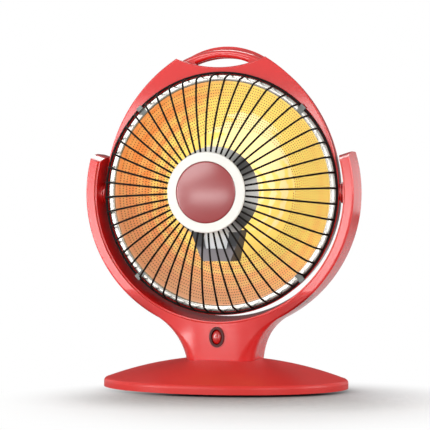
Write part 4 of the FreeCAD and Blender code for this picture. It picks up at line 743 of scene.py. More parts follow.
class Grower:
    """A Geometry Nodes tree that makes one repeating piece."""

    def __init__(self, name: str) -> None:
        """Starts an empty tree.

        Args:
            name: Name of the tree and of the piece.
        """
        self.name = name
        self.tree = bpy.data.node_groups.new(name, "GeometryNodeTree")
        self.add: Adder = partial(add_node, self.tree)
        for way in ("INPUT", "OUTPUT"):
            self.tree.interface.new_socket("Geometry", in_out=way, socket_type="NodeSocketGeometry")
        self.entry = self.add("NodeGroupInput")
        self.values: dict[str, Any] = {}

    @property
    def points(self) -> NodeSocket:
        """The geometry that comes in."""
        return self.entry.outputs["Geometry"]

    def size(self, name: str, value: Any, kind: str = "NodeSocketFloat") -> NodeSocket:
        """Adds a named input.

        Args:
            name: Name of the input.
            value: What the modifier gives it.
            kind: Blender's socket type.

        Returns:
            The socket that carries the value inside the tree.
        """
        made = self.tree.interface.new_socket(name, in_out="INPUT", socket_type=kind)
        self.values[made.identifier] = value
        return self.entry.outputs[name]

    def grow(self, geometry: Node, finish: Finish, mesh: Mesh | None = None) -> Object:
        """Closes the tree, runs it and keeps the result as a plain mesh.

        Args:
            geometry: Node that gives what the tree has made.
            finish: Finish of the piece.
            mesh: Mesh that goes into the tree, if it needs one.

        Returns:
            The piece, with no modifier left on it.
        """
        skin = self.size("Finish", finish.material(), "NodeSocketMaterial")
        real = self.add("GeometryNodeRealizeInstances", [geometry])
        dressed = self.add("GeometryNodeSetMaterial", {"Geometry": real, "Material": skin})
        self.add("NodeGroupOutput", [dressed])
        piece = new_piece(self.name, mesh or bpy.data.meshes.new(f"{self.name}_seed"))
        modifier = piece.modifiers.new(self.name, "NODES")
        modifier.node_group = self.tree
        for identifier, value in self.values.items():
            modifier[identifier] = value
        graph = bpy.context.evaluated_depsgraph_get()
        made = bpy.data.meshes.new_from_object(piece.evaluated_get(graph), depsgraph=graph)
        made.materials.clear()
        made.materials.append(finish.material())
        piece.modifiers.clear()
        piece.data = made
        return piece


@dataclass
class SubAssembly:
    """Pieces that belong together: what the CAD nodes wear and what is added to them."""

    wear: ClassVar[dict[str, Finish]] = {}

    def dress(self, nodes: dict[str, Object]) -> None:
        """Gives each CAD node of the group its finish.

        Args:
            nodes: CAD nodes by name.
        """
        for name, finish in self.wear.items():
            mesh = nodes[name].data
            mesh.materials.clear()
            mesh.materials.append(finish.material())
            LOG.info("%s wears %s", name, finish.name)

    def build(self) -> None:
        """Makes the added pieces; a group with none does nothing."""


@dataclass
class Base(SubAssembly):
    """The oval base: shell, plate, feet, ballast, tip switch and wiring."""

    wear: ClassVar[dict[str, Finish]] = {
        "base_top_shell": Palette.SATIN,
        "base_bottom_plate": Palette.BLACK,
        "rubber_feet": Palette.RUBBER,
        "ballast_plate": Palette.IRON,
        "tip_plunger": Palette.BLACK,
        "tip_switch": Palette.SWITCH,
        "terminal_block": Palette.CREAM,
        "base_lead": Palette.SLEEVE,
    }


@dataclass
class Yoke(SubAssembly):
    """The forked stand: front and rear shells, neck cover, grommet, washers and a lead."""

    wear: ClassVar[dict[str, Finish]] = {
        "yoke_front_shell": Palette.NECK,
        "yoke_rear_shell": Palette.RED,
        "neck_rear_cover": Palette.RED,
        "cord_grommet": Palette.RUBBER,
        "friction_washers": Palette.CLIP,
        "arm_lead": Palette.SLEEVE,
    }


@dataclass
class Switch(SubAssembly):
    """The oval rocker switch in the neck, with its domed lens.

    Attributes:
        pin: Middle of the rocker's pin.
        half: Half width and half height of the lens.
        reach: Distance from the pin forward to the top of the dome.
        root: Distance from the pin back to the end of the lens.
        edge: Depth at which the dome begins, forward of the pin.
        lean: Turn of the lens at rest in degrees.
        facets: Steps of the lens round its rim and from front to back.
        pin_radius: Radius of the pin.
        pin_half: Half length of the pin.
        pin_sides: Sides of the pin.
    """

    wear: ClassVar[dict[str, Finish]] = {
        "switch_housing": Palette.SWITCH,
        "switch_terminals": Palette.BRASS,
        "switch_rocker": Palette.LENS,
    }

    pin: Point = (0.0, -0.028, 0.0535)
    half: Pair = (5.0 * MM, 7.2 * MM)
    reach: float = 4.2 * MM
    root: float = 2.2 * MM
    edge: float = 0.4 * MM
    lean: float = -7.0
    facets: tuple[int, int] = (64, 32)
    pin_radius: float = 1.0 * MM
    pin_half: float = 5.7 * MM
    pin_sides: int = 24

    def build(self) -> None:
        """Makes the lens."""
        seat(self.lens(), Body.ROCKER, ["switch_rocker"])

    def lens(self) -> Object:
        """Rounds a ball into an oval dome and sets it on its pin.

        Returns:
            The lens at its place in the neck.
        """
        work = bmesh.new()
        round_rim, front_to_back = self.facets
        ball = bmesh.ops.create_uvsphere(
            work, u_segments=round_rim, v_segments=front_to_back, radius=1.0
        )
        for vert in ball["verts"]:
            across, upward, toward = vert.co
            span = self.reach - self.edge if toward > 0.0 else self.root + self.edge
            vert.co = (across * self.half[0], -(self.edge + span * toward), upward * self.half[1])
        bmesh.ops.create_cone(
            work, cap_ends=True, segments=self.pin_sides, radius1=self.pin_radius,
            radius2=self.pin_radius, depth=2.0 * self.pin_half,
            matrix=Matrix.Rotation(QUARTER_TURN, 4, "Y"),
        )
        place = Matrix.Translation(self.pin) @ Matrix.Rotation(math.radians(self.lean), 4, "X")
        return finished("rocker_lens", work, Palette.LENS, place)


@dataclass
class HeadShell(SubAssembly):
    """The hooded bezel with its handle, the vented rear shell and what is wired inside them."""

    wear: ClassVar[dict[str, Finish]] = {
        "head_bezel": Palette.HOOD,
        "head_rear_shell": Palette.RED,
        "thermal_cutout": Palette.BLACK,
        "head_lead": Palette.SLEEVE,
    }


@dataclass
class Reflector(SubAssembly):
    """The dish: a rippled bowl with rows of small hollows, inside a bright rolled flange.

    Attributes:
        mouth: Radius of the bowl's mouth.
        mouth_depth: Y of the mouth behind the pivot.
        reach: Y of the deepest point behind the pivot.
        sheet: Thickness of the sheet.
        around: Mesh steps on one turn of the bowl.
        rings: Ripples from the middle to the mouth.
        ring_steps: Mesh steps of one ripple.
        ripple: Height of a ripple, and of the stud that stands for a hollow.
        seam: Distance within which the bowl's seam and middle close.
        dotted: Radius at which the hollows begin.
        pitch: Distance between hollows, along a row and from row to row.
        margin: Width of the plain band at the mouth as a share of the pitch.
        hollow: Radius of a hollow.
        hollow_sides: Sides of a hollow.
        hollow_floor: Radius of the stud's top as a share of the hollow's.
        row_points: Points on one turn of the rows' spiral.
        flange: Outer radius of the flange.
        step: Height of the step between bowl and flange.
        step_edge: Corners of the step, outward from the mouth and back from the flange's face.
        rolled_edge: Corners of the rolled edge, outward from the flange and back from its face.
        step_back: How far the step's back stands out from the mouth, at the flange and the bowl.
        flange_steps: Mesh steps on one turn of the flange.
    """

    wear: ClassVar[dict[str, Finish]] = {"reflector_dish": Palette.FLANGE}

    mouth: float = 112.4 * MM
    mouth_depth: float = -6.75 * MM
    reach: float = 45.9 * MM
    sheet: float = 0.5 * MM
    around: int = 180
    rings: int = 12
    ring_steps: float = 6.0
    ripple: float = 0.12 * MM
    seam: float = 0.001 * MM
    dotted: float = 66.0 * MM
    pitch: float = 2.6 * MM
    margin: float = 0.6
    hollow: float = 0.78 * MM
    hollow_sides: int = 7
    hollow_floor: float = 0.5
    row_points: int = 120
    flange: float = 119.0 * MM
    step: float = 1.8 * MM
    step_edge: tuple[Pair, ...] = ((0.3 * MM, 0.5 * MM), (0.9 * MM, 0.0))
    rolled_edge: tuple[Pair, ...] = (
        (-0.6 * MM, 0.0), (0.0, 0.4 * MM), (0.0, 0.5 * MM), (-0.6 * MM, 0.5 * MM)
    )
    step_back: Pair = (1.1 * MM, 0.6 * MM)
    flange_steps: int = 192

    @property
    def sphere(self) -> float:
        """Radius of the sphere that the bowl is part of."""
        deep = self.reach - self.mouth_depth
        return (self.mouth ** 2 + deep ** 2) / (2.0 * deep)

    @property
    def middle(self) -> Vector:
        """That sphere's centre."""
        return Vector((PIVOT[0], PIVOT[1] + self.reach - self.sphere, PIVOT[2]))

    def build(self) -> None:
        """Makes the bowl, its hollows and its flange."""
        seat(self.bowl(), Body.HEAD, ["reflector_dish"])
        seat(self.hollows(), Body.HEAD)
        seat(self.rim(), Body.HEAD)

    def onto_sphere(self, add: Adder, shape: Node, out: Node, angle: Node, swell: Any) -> Node:
        """Lays points on the bowl.

        Args:
            add: Adds a node to the tree.
            shape: Geometry to lay.
            out: Distance of each point from the axis.
            angle: Its turn about the axis.
            swell: How far it stands in from the sphere.

        Returns:
            The geometry on the bowl.
        """
        lean = add(MATH, [out, self.sphere], operation="DIVIDE")
        square = add(MATH, [lean, lean], operation="MULTIPLY")
        upright = add(MATH, [add(MATH, [1.0, square], operation="SUBTRACT")], operation="SQRT")
        lift = add(MATH, [self.sphere, swell], operation="SUBTRACT")
        wide = add(MATH, [lift, lean], operation="MULTIPLY")
        across, upward = (
            add(MATH, [wide, add(MATH, [angle], operation=wave)], operation="MULTIPLY")
            for wave in ("COSINE", "SINE")
        )
        deep = add(MATH, [lift, upright], operation="MULTIPLY")
        spot = add(COMBINE, [
            across,
            add(MATH, [deep, self.middle.y], operation="ADD"),
            add(MATH, [upward, self.middle.z], operation="ADD"),
        ])
        return add("GeometryNodeSetPosition", {"Geometry": shape, "Position": spot})

    def bowl(self) -> Object:
        """Grows the rippled bowl from a flat grid rolled into rings.

        Returns:
            The bowl with the sheet's thickness, bright on its back.
        """
        grower = Grower("rippled_bowl")
        add = grower.add
        rings = grower.size("Rings", self.rings, "NodeSocketInt")
        mouth = grower.size("Mouth Radius", self.mouth)
        tall = grower.size("Ripple Height", self.ripple)
        around = grower.size("Steps Around", self.around, "NodeSocketInt")
        inward = add(MATH, [rings, self.ring_steps], operation="MULTIPLY")
        grid = add("GeometryNodeMeshGrid", {
            "Size X": 1.0, "Size Y": 1.0,
            "Vertices X": add(MATH, [inward, 1.0], operation="ADD"),
            "Vertices Y": add(MATH, [around, 1.0], operation="ADD"),
        })
        # The grid spans a half to either side, so a half makes each side a share from 0 to 1.
        flat = add(SPLIT, [add("GeometryNodeInputPosition")])
        share, turn = (add(MATH, [flat.outputs[way], 0.5], operation="ADD") for way in "XY")
        ripples = add(MATH, [share, rings], operation="MULTIPLY")
        wave = add(MATH, [add(MATH, [ripples, math.pi], operation="MULTIPLY")], operation="SINE")
        swell = add(
            MATH, [add(MATH, [wave], operation="ABSOLUTE"), tall], operation="MULTIPLY"
        )
        laid = self.onto_sphere(
            add, grid, add(MATH, [share, mouth], operation="MULTIPLY"),
            add(MATH, [turn, FULL_TURN], operation="MULTIPLY"), swell,
        )
        merged = add("GeometryNodeMergeByDistance", {"Geometry": laid, "Distance": self.seam})
        piece = grower.grow(merged, Palette.DISH)
        work = bmesh.new()
        work.from_mesh(piece.data)
        bmesh.ops.solidify(work, geom=work.faces[:], thickness=self.sheet)
        piece.data = clean(work, grower.name)
        for finish in (Palette.DISH, Palette.FLANGE):
            piece.data.materials.append(finish.material())
        for face in piece.data.polygons:
            face.material_index = int(face.normal.dot(face.center - self.middle) > 0.0)
        return piece

    def hollows(self) -> Object:
        """Sets the small hollows in rows along a spiral.

        They are too small for the bowl's mesh, so a low stud on the sheet stands for each, darkened
        with painted shade.

        Returns:
            All the hollows as one piece.
        """
        grower = Grower("dish_hollows")
        add = grower.add
        pitch = grower.size("Pitch", self.pitch)
        inner = grower.size("Inner Radius", self.dotted)
        outer = grower.size("Outer Radius", self.mouth - self.margin * self.pitch)
        radius = grower.size("Hollow Radius", self.hollow)
        width = add(MATH, [outer, inner], operation="SUBTRACT")
        spiral = add("GeometryNodeCurveSpiral", {
            "Resolution": self.row_points, "Start Radius": inner, "End Radius": outer,
            "Height": 0.0, "Rotations": add(MATH, [width, pitch], operation="DIVIDE"),
        })
        row = add("GeometryNodeCurveToPoints", {"Curve": spiral, "Length": pitch}, mode="LENGTH")
        where = add("GeometryNodeInputPosition")
        flat = add(SPLIT, [where]).outputs
        laid = self.onto_sphere(
            add, row, add(VECTOR, [where], operation="LENGTH"),
            add(MATH, [flat["Y"], flat["X"]], operation="ARCTAN2"), self.ripple,
        )
        inward = add(VECTOR, [self.middle, where], operation="SUBTRACT")
        facing = add("FunctionNodeAlignRotationToVector", {"Vector": inward}, axis="Z")
        dot = add("GeometryNodeMeshCone", {
            "Vertices": self.hollow_sides, "Radius Bottom": radius, "Depth": self.ripple,
            "Radius Top": add(MATH, [radius, self.hollow_floor], operation="MULTIPLY"),
        })
        spread = add(SCATTER, {"Points": laid, "Instance": dot, "Rotation": facing})
        return grower.grow(spread, Palette.HOLLOW)

    def rim(self) -> Object:
        """Turns the bright flange with its step and rolled edge.

        Returns:
            The flange round the bowl's mouth.
        """
        face = self.mouth_depth - self.step
        at_flange, at_bowl = self.step_back
        profile = [
            (self.mouth, self.mouth_depth),
            *((self.mouth + out, face + back) for out, back in self.step_edge),
            *((self.flange + out, face + back) for out, back in self.rolled_edge),
            (self.mouth + at_flange, face + self.sheet),
            (self.mouth + at_bowl, self.mouth_depth + self.sheet),
        ]
        return finished(
            "dish_flange", turned(profile, self.flange_steps), Palette.FLANGE,
            Matrix.Translation(PIVOT),
        )


@dataclass
class Guard(SubAssembly):
    """The domed wire guard with its clips and a weld at each wire's end.

    Attributes:
        wires: Number of wires.
        start: Angle of the first wire in degrees.
        welds: Radius, Y and bead size at the rim and at the hub ring.
        bead_steps: Steps of a bead round its axis and along it.
        bead_shape: Shares of the bead's size along X, Y and Z.
    """

    wear: ClassVar[dict[str, Finish]] = {
        "guard_rim": Palette.WIRE,
        "guard_wires": Palette.WIRE,
        "guard_hub_ring": Palette.WIRE,
        "guard_clips": Palette.CLIP,
    }

    wires: int = 48
    start: float = 2.0
    welds: tuple[Point, ...] = (
        (119.9 * MM, -19.8 * MM, 1.1 * MM),
        (38.9 * MM, -62.3 * MM, 1.1 * MM),
    )
    bead_steps: tuple[int, int] = (8, 5)
    bead_shape: Point = (1.0, 0.75, 1.0)

    def build(self) -> None:
        """Makes the weld beads."""
        seat(self.beads(), Body.HEAD)

    def beads(self) -> Object:
        """Sets a small bead on each crossing of a wire with a ring.

        Returns:
            All the beads as one piece.
        """
        grower = Grower("guard_welds")
        add = grower.add
        count = grower.size("Wires", self.wires, "NodeSocketInt")
        joined = add("GeometryNodeJoinGeometry")
        for number, (radius, plane, bead) in enumerate(self.welds):
            ring = add(
                "GeometryNodeMeshCircle", [count, grower.size(f"Ring Radius {number}", radius)]
            )
            placed = add("GeometryNodeTransform", {
                "Geometry": ring, "Translation": (PIVOT[0], plane, PIVOT[2]),
                "Rotation": (QUARTER_TURN, -math.radians(self.start), 0.0),
            })
            ball = add(
                "GeometryNodeMeshUVSphere",
                [*self.bead_steps, grower.size(f"Bead Radius {number}", bead)],
            )
            spread = add(SCATTER, {"Points": placed, "Instance": ball, "Scale": self.bead_shape})
            feed(joined, [spread])
        return grower.grow(add("GeometryNodeSetShadeSmooth", [joined]), Palette.WIRE)


@dataclass
class Hub(SubAssembly):
    """The white hub plate with its domed cap.

    Attributes:
        centre: Middle of the hub, in the plane of the cap's back.
        cap: Radius of the cap.
        side: Height of the cap's edge above its back.
        crown: Height of the middle above its back.
        steps: Mesh steps from the middle of the dome to its edge.
        around: Mesh steps on one turn.
    """

    wear: ClassVar[dict[str, Finish]] = {
        "hub_plate": Palette.WHITE,
        "hub_cap": Palette.CAP,
        "hub_clamp": Palette.CLIP,
    }

    centre: Point = (0.0, -66.35 * MM, 197.0 * MM)
    cap: float = 30.3 * MM
    side: float = 1.2 * MM
    crown: float = 4.6 * MM
    steps: int = 20
    around: int = 128

    def build(self) -> None:
        """Makes the dome of the cap."""
        seat(self.dome(), Body.HEAD, ["hub_cap"])

    def dome(self) -> Object:
        """Turns the cap with an even dome.

        Returns:
            The cap on the hub plate.
        """
        rise = self.crown - self.side
        sphere = (self.cap ** 2 + rise ** 2) / (2.0 * rise)
        profile = [(0.0, 0.0)]
        for number in range(self.steps + 1):
            out = self.cap * number / self.steps
            profile.append((out, sphere - self.crown - math.sqrt(sphere ** 2 - out ** 2)))
        profile.append((self.cap, 0.0))
        place = Matrix.Translation(self.centre)
        return finished("cap_dome", turned(profile, self.around), Palette.CAP, place)


@dataclass
class Lamp(SubAssembly):
    """The bent quartz lamp with its wound filament, holder, bracket and shield.

    Attributes:
        bend: Radius of the lamp's bend.
        top: Centre of the bend.
        leg: Length of each straight leg.
        coil: Radius of the winding.
        pitch: Distance between turns.
        turn_points: Points on one turn.
        wire: Radius of the filament wire.
        wire_sides: Sides of the wire.
        heights: Z of the bracket's foot, of its sill and of its top.
        half: Half width of the bracket's foot and of its top.
        window: Half width of the window at the sill and at the top.
        front: Y of the bracket's front.
        depth: Depth of the bracket's sides at the foot and at the top.
        sheet: Thickness of the bracket.
        block: Half width, half depth and lowest and highest Z of the holder.
        tongue: Half width and top Z of the holder's middle, between the lamp's legs.
        rounding: Radius of the holder's edges.
        rounding_steps: Mesh steps of that radius.
        rounding_form: Form of the rounding, 0.5 for a circle.
    """

    wear: ClassVar[dict[str, Finish]] = {
        "lamp_tube": Palette.QUARTZ,
        "lamp_end_caps": Palette.CERAMIC,
        "lamp_holder": Palette.CERAMIC,
        "lamp_bracket": Palette.STEEL,
        "element_shield": Palette.SPUN,
        "shield_strap": Palette.STEEL,
    }

    bend: float = 18.0 * MM
    top: Point = (0.0, -0.023, 0.197)
    leg: float = 36.0 * MM
    coil: float = 1.0 * MM
    pitch: float = 1.3 * MM
    turn_points: int = 9
    wire: float = 0.2 * MM
    wire_sides: int = 5
    heights: Point = (129.0 * MM, 141.5 * MM, 160.0 * MM)
    half: Pair = (14.8 * MM, 27.0 * MM)
    window: Pair = (10.8 * MM, 14.4 * MM)
    front: float = -32.0 * MM
    depth: Pair = (36.0 * MM, 18.0 * MM)
    sheet: float = 0.8 * MM
    block: tuple[float, float, float, float] = (17.4 * MM, 7.9 * MM, 137.1 * MM, 154.4 * MM)
    tongue: Pair = (11.6 * MM, 163.0 * MM)
    rounding: float = 0.5 * MM
    rounding_steps: int = 2
    rounding_form: float = 0.5

    def build(self) -> None:
        """Makes the wound filament, the holder and the bracket."""
        seat(self.filament(), Body.HEAD, ["lamp_filament"])
        seat(self.holder(), Body.HEAD, ["lamp_holder"])
        seat(self.bracket(), Body.HEAD, ["lamp_bracket"])

    def holder(self) -> Object:
        """Makes the stepped ceramic block that the lamp's legs stand on.

        Returns:
            The holder behind the bracket's window.
        """
        half, deep, low, high = self.block
        narrow, top = self.tongue
        outline = [(-half, low), (half, low), (half, high), (narrow, high), (narrow, top),
                   (-narrow, top), (-narrow, high), (-half, high)]
        work = bmesh.new()
        slab(work, [(x, self.top[1] - deep, z) for x, z in outline], (0.0, 2.0 * deep, 0.0))
        bmesh.ops.bevel(
            work, geom=work.edges[:], offset=self.rounding, segments=self.rounding_steps,
            affect="EDGES", profile=self.rounding_form,
        )
        return finished("ceramic_holder", work, Palette.CERAMIC, smooth=False)

    def bracket(self) -> Object:
        """Folds the bracket from sheet: two legs, a sill below the window, sides and a floor.

        Returns:
            The bracket round the holder.
        """
        low, sill, high = self.heights
        foot, top = self.half
        below, above = self.window
        level = foot + (top - foot) * (sill - low) / (high - low)
        near, back = self.front, self.front + self.sheet
        low_end, high_end = (near + depth for depth in self.depth)
        inward, upward = (0.0, self.sheet, 0.0), (0.0, 0.0, self.sheet)
        work = bmesh.new()
        slab(work, [(-foot, near, low), (foot, near, low), (level, near, sill),
                    (-level, near, sill)], inward)
        for side in (-1.0, 1.0):
            slab(work, [(side * below, near, sill), (side * level, near, sill),
                        (side * top, near, high), (side * above, near, high)], inward)
            slab(work, [(side * foot, back, low), (side * foot, low_end, low),
                        (side * top, high_end, high), (side * top, back, high)],
                 (-side * self.sheet, 0.0, 0.0))
        slab(work, [(-foot, back, low), (foot, back, low), (foot, low_end, low),
                    (-foot, low_end, low)], upward)
        return finished("folded_bracket", work, Palette.STEEL, smooth=False)

    def path(self, along: float) -> tuple[Vector, Vector]:
        """Finds the lamp's centre line.

        Args:
            along: Distance from the foot of the left leg.

        Returns:
            The point there and the direction across the tube, away from the bend's centre.
        """
        arc = math.pi * self.bend
        if along < self.leg:
            return Vector((-self.bend, 0.0, along - self.leg)), Vector((-1.0, 0.0, 0.0))
        if along > self.leg + arc:
            down = along - self.leg - arc
            return Vector((self.bend, 0.0, -down)), Vector((1.0, 0.0, 0.0))
        turn = math.pi - (along - self.leg) / self.bend
        across = Vector((math.cos(turn), 0.0, math.sin(turn)))
        return across * self.bend, across

    def filament(self) -> Object:
        """Winds the filament along the lamp's centre line.

        Returns:
            The coil as one piece.
        """
        length = 2.0 * self.leg + math.pi * self.bend
        count = int(length / self.pitch * self.turn_points)
        corners = []
        for number in range(count + 1):
            middle, across = self.path(length * number / count)
            turn = FULL_TURN * number / self.turn_points
            side = across * math.cos(turn) + Vector((0.0, math.sin(turn), 0.0))
            corners.append(Vector(self.top) + middle + side * self.coil)
        line = bpy.data.meshes.new("coil_line")
        line.from_pydata(corners, [(at, at + 1) for at in range(count)], [])
        grower = Grower("wound_filament")
        curve = grower.add("GeometryNodeMeshToCurve", [grower.points])
        section = grower.add(
            "GeometryNodeCurvePrimitiveCircle",
            {"Resolution": self.wire_sides, "Radius": grower.size("Wire Radius", self.wire)},
        )
        tube = grower.add(
            "GeometryNodeCurveToMesh",
            {"Curve": curve, "Profile Curve": section, "Fill Caps": True},
        )
        soft = grower.add("GeometryNodeSetShadeSmooth", [tube])
        return grower.grow(soft, Palette.TUNGSTEN, line)


@dataclass(frozen=True)
class ScrewSet:
    """One row of identical screws.

    Attributes:
        node: CAD node that holds them.
        body: Body that they are driven into.
        head: Radius of the head.
        tall: Height of the head.
        shank: Radius of the shank.
        outward: Direction in which the heads look.
    """

    node: str
    body: Body
    head: float
    tall: float
    shank: float
    outward: Point

    def seats(self, mesh: Mesh) -> list[tuple[Vector, float]]:
        """Finds where the screws of the CAD node sit.

        Args:
            mesh: Mesh of the CAD node, with all screws of the row.

        Returns:
            The top of each head and the length of each screw.
        """
        work = bmesh.new()
        work.from_mesh(mesh)
        bmesh.ops.remove_doubles(work, verts=work.verts, dist=DOUBLE)
        way = Vector(self.outward)
        left = set(work.verts)
        found = []
        while left:
            island = {left.pop()}
            edge = set(island)
            while edge:
                edge = {
                    other for vert in edge for link in vert.link_edges
                    for other in link.verts if other not in island
                }
                island |= edge
            left -= island
            heights = [vert.co.dot(way) for vert in island]
            middle = sum((vert.co for vert in island), Vector()) / len(island)
            top = middle + way * (max(heights) - middle.dot(way))
            found.append((top, max(heights) - min(heights)))
        work.free()
        return found


@dataclass
class Fasteners(SubAssembly):
    """Every screw, with its cross recess.

    Attributes:
        rows: The rows of screws.
        sides: Sides of a head.
        recess: Depth of the cross as a share of the head's height.
        arm: Length of the cross as a share of the head's radius.
        bar: Width of its bars as a share of that radius.
    """

    wear: ClassVar[dict[str, Finish]] = dict.fromkeys(
        ("base_screws", "yoke_screws", "neck_screws", "head_screws", "hub_screw"), Palette.ZINC
    )

    rows: tuple[ScrewSet, ...] = (
        ScrewSet("base_screws", Body.STAND, 3.4 * MM, 1.8 * MM, 1.45 * MM, (0.0, 0.0, -1.0)),
        ScrewSet("yoke_screws", Body.STAND, 2.5 * MM, 1.9 * MM, 1.2 * MM, (0.0, 1.0, 0.0)),
        ScrewSet("neck_screws", Body.STAND, 3.4 * MM, 1.9 * MM, 1.45 * MM, (0.0, 0.0, -1.0)),
        ScrewSet("head_screws", Body.HEAD, 2.2 * MM, 1.5 * MM, 1.0 * MM, (0.0, 1.0, 0.0)),
        ScrewSet("hub_screw", Body.HEAD, 3.4 * MM, 1.9 * MM, 1.4 * MM, (0.0, 1.0, 0.0)),
    )
    sides: int = 24
    recess: float = 0.6
    arm: float = 1.15
    bar: float = 0.3

    def build(self) -> None:
        """Makes each row of screws."""
        for row in self.rows:
            seat(self.screws(row), row.body, [row.node])

    def screws(self, row: ScrewSet) -> Object:
        """Sets a cross-head screw at each seat of a row.

        Args:
            row: The row to make.

        Returns:
            The row as one piece.
        """
        seats = row.seats(bpy.data.objects[row.node].data)
        spots = bpy.data.meshes.new("screw_spots")
        spots.from_pydata([spot for spot, _ in seats], [], [])
        grower = Grower(f"cross_{row.node}")
        add = grower.add
        head = grower.size("Head Radius", row.head)
        tall = grower.size("Head Height", row.tall)
        shank = grower.size("Shank Radius", row.shank)
        length = grower.size("Length", min(length for _, length in seats))
        stem = add(MATH, [length, tall], operation="SUBTRACT")
        blanks = []
        for radius, depth, top in ((head, tall, 0.0), (shank, stem, tall)):
            rod = add(
                "GeometryNodeMeshCylinder",
                {"Vertices": self.sides, "Radius": radius, "Depth": depth},
            )
            centre = add(MATH, [depth, 0.5, top], operation="MULTIPLY_ADD")
            sunk = add(COMBINE, {"Z": add(MATH, [centre, -1.0], operation="MULTIPLY")})
            blanks.append(add("GeometryNodeTransform", {"Geometry": rod, "Translation": sunk}))
        joined = add("GeometryNodeJoinGeometry")
        for part in (self.crossed(add, blanks[0], head, tall), blanks[1]):
            feed(joined, [part])
        facing = add("FunctionNodeAlignRotationToVector", {"Vector": row.outward}, axis="Z")
        spread = add(
            SCATTER, {"Points": grower.points, "Instance": joined, "Rotation": facing}
        )
        return grower.grow(spread, Palette.ZINC, spots)

    def crossed(self, add: Adder, blank: Node, head: NodeSocket, tall: NodeSocket) -> Node:
        """Cuts the cross recess into a head.

        Args:
            add: Adds a node to the tree.
            blank: The plain head.
            head: Its radius.
            tall: Its height.

        Returns:
            The head with its recess.
        """
        arm, bar = (add(MATH, [head, part], operation="MULTIPLY") for part in (self.arm, self.bar))
        deep = add(MATH, [tall, 2.0 * self.recess], operation="MULTIPLY")
        cut = add(
            "GeometryNodeMeshBoolean", {"Mesh 1": blank}, operation="DIFFERENCE", solver="EXACT"
        )
        for width, breadth in ((arm, bar), (bar, arm)):
            size = add(COMBINE, [width, breadth, deep])
            feed(cut, {"Mesh 2": add("GeometryNodeMeshCube", {"Size": size})})
        return cut


@dataclass(frozen=True)
class Softbox:
    """A flat lamp that looks at the object.

    Attributes:
        name: Name of the lamp.
        place: Middle of its face.
        width: Width of its face.
        height: Height of its face.
        power: Watts.
        roll: Turn of the face about its own axis in degrees.
    """

    name: str
    place: Point
    width: float
    height: float
    power: float
    roll: float = 0.0

    def hang(self, aim: Point) -> None:
        """Puts the lamp into the scene.

        Args:
            aim: Point that the lamp looks at.
        """
        data = bpy.data.lights.new(self.name, "AREA")
        data.shape = "RECTANGLE"
        data.size, data.size_y = self.width, self.height
        data.energy = self.power
        made = bpy.data.objects.new(self.name, data)
        made.location = self.place
        toward = Vector(aim) - Vector(self.place)
        turn = Quaternion((0.0, 0.0, 1.0), math.radians(self.roll))
        made.rotation_euler = (toward.to_track_quat("-Z", "Y") @ turn).to_euler()
        bpy.context.scene.collection.objects.link(made)


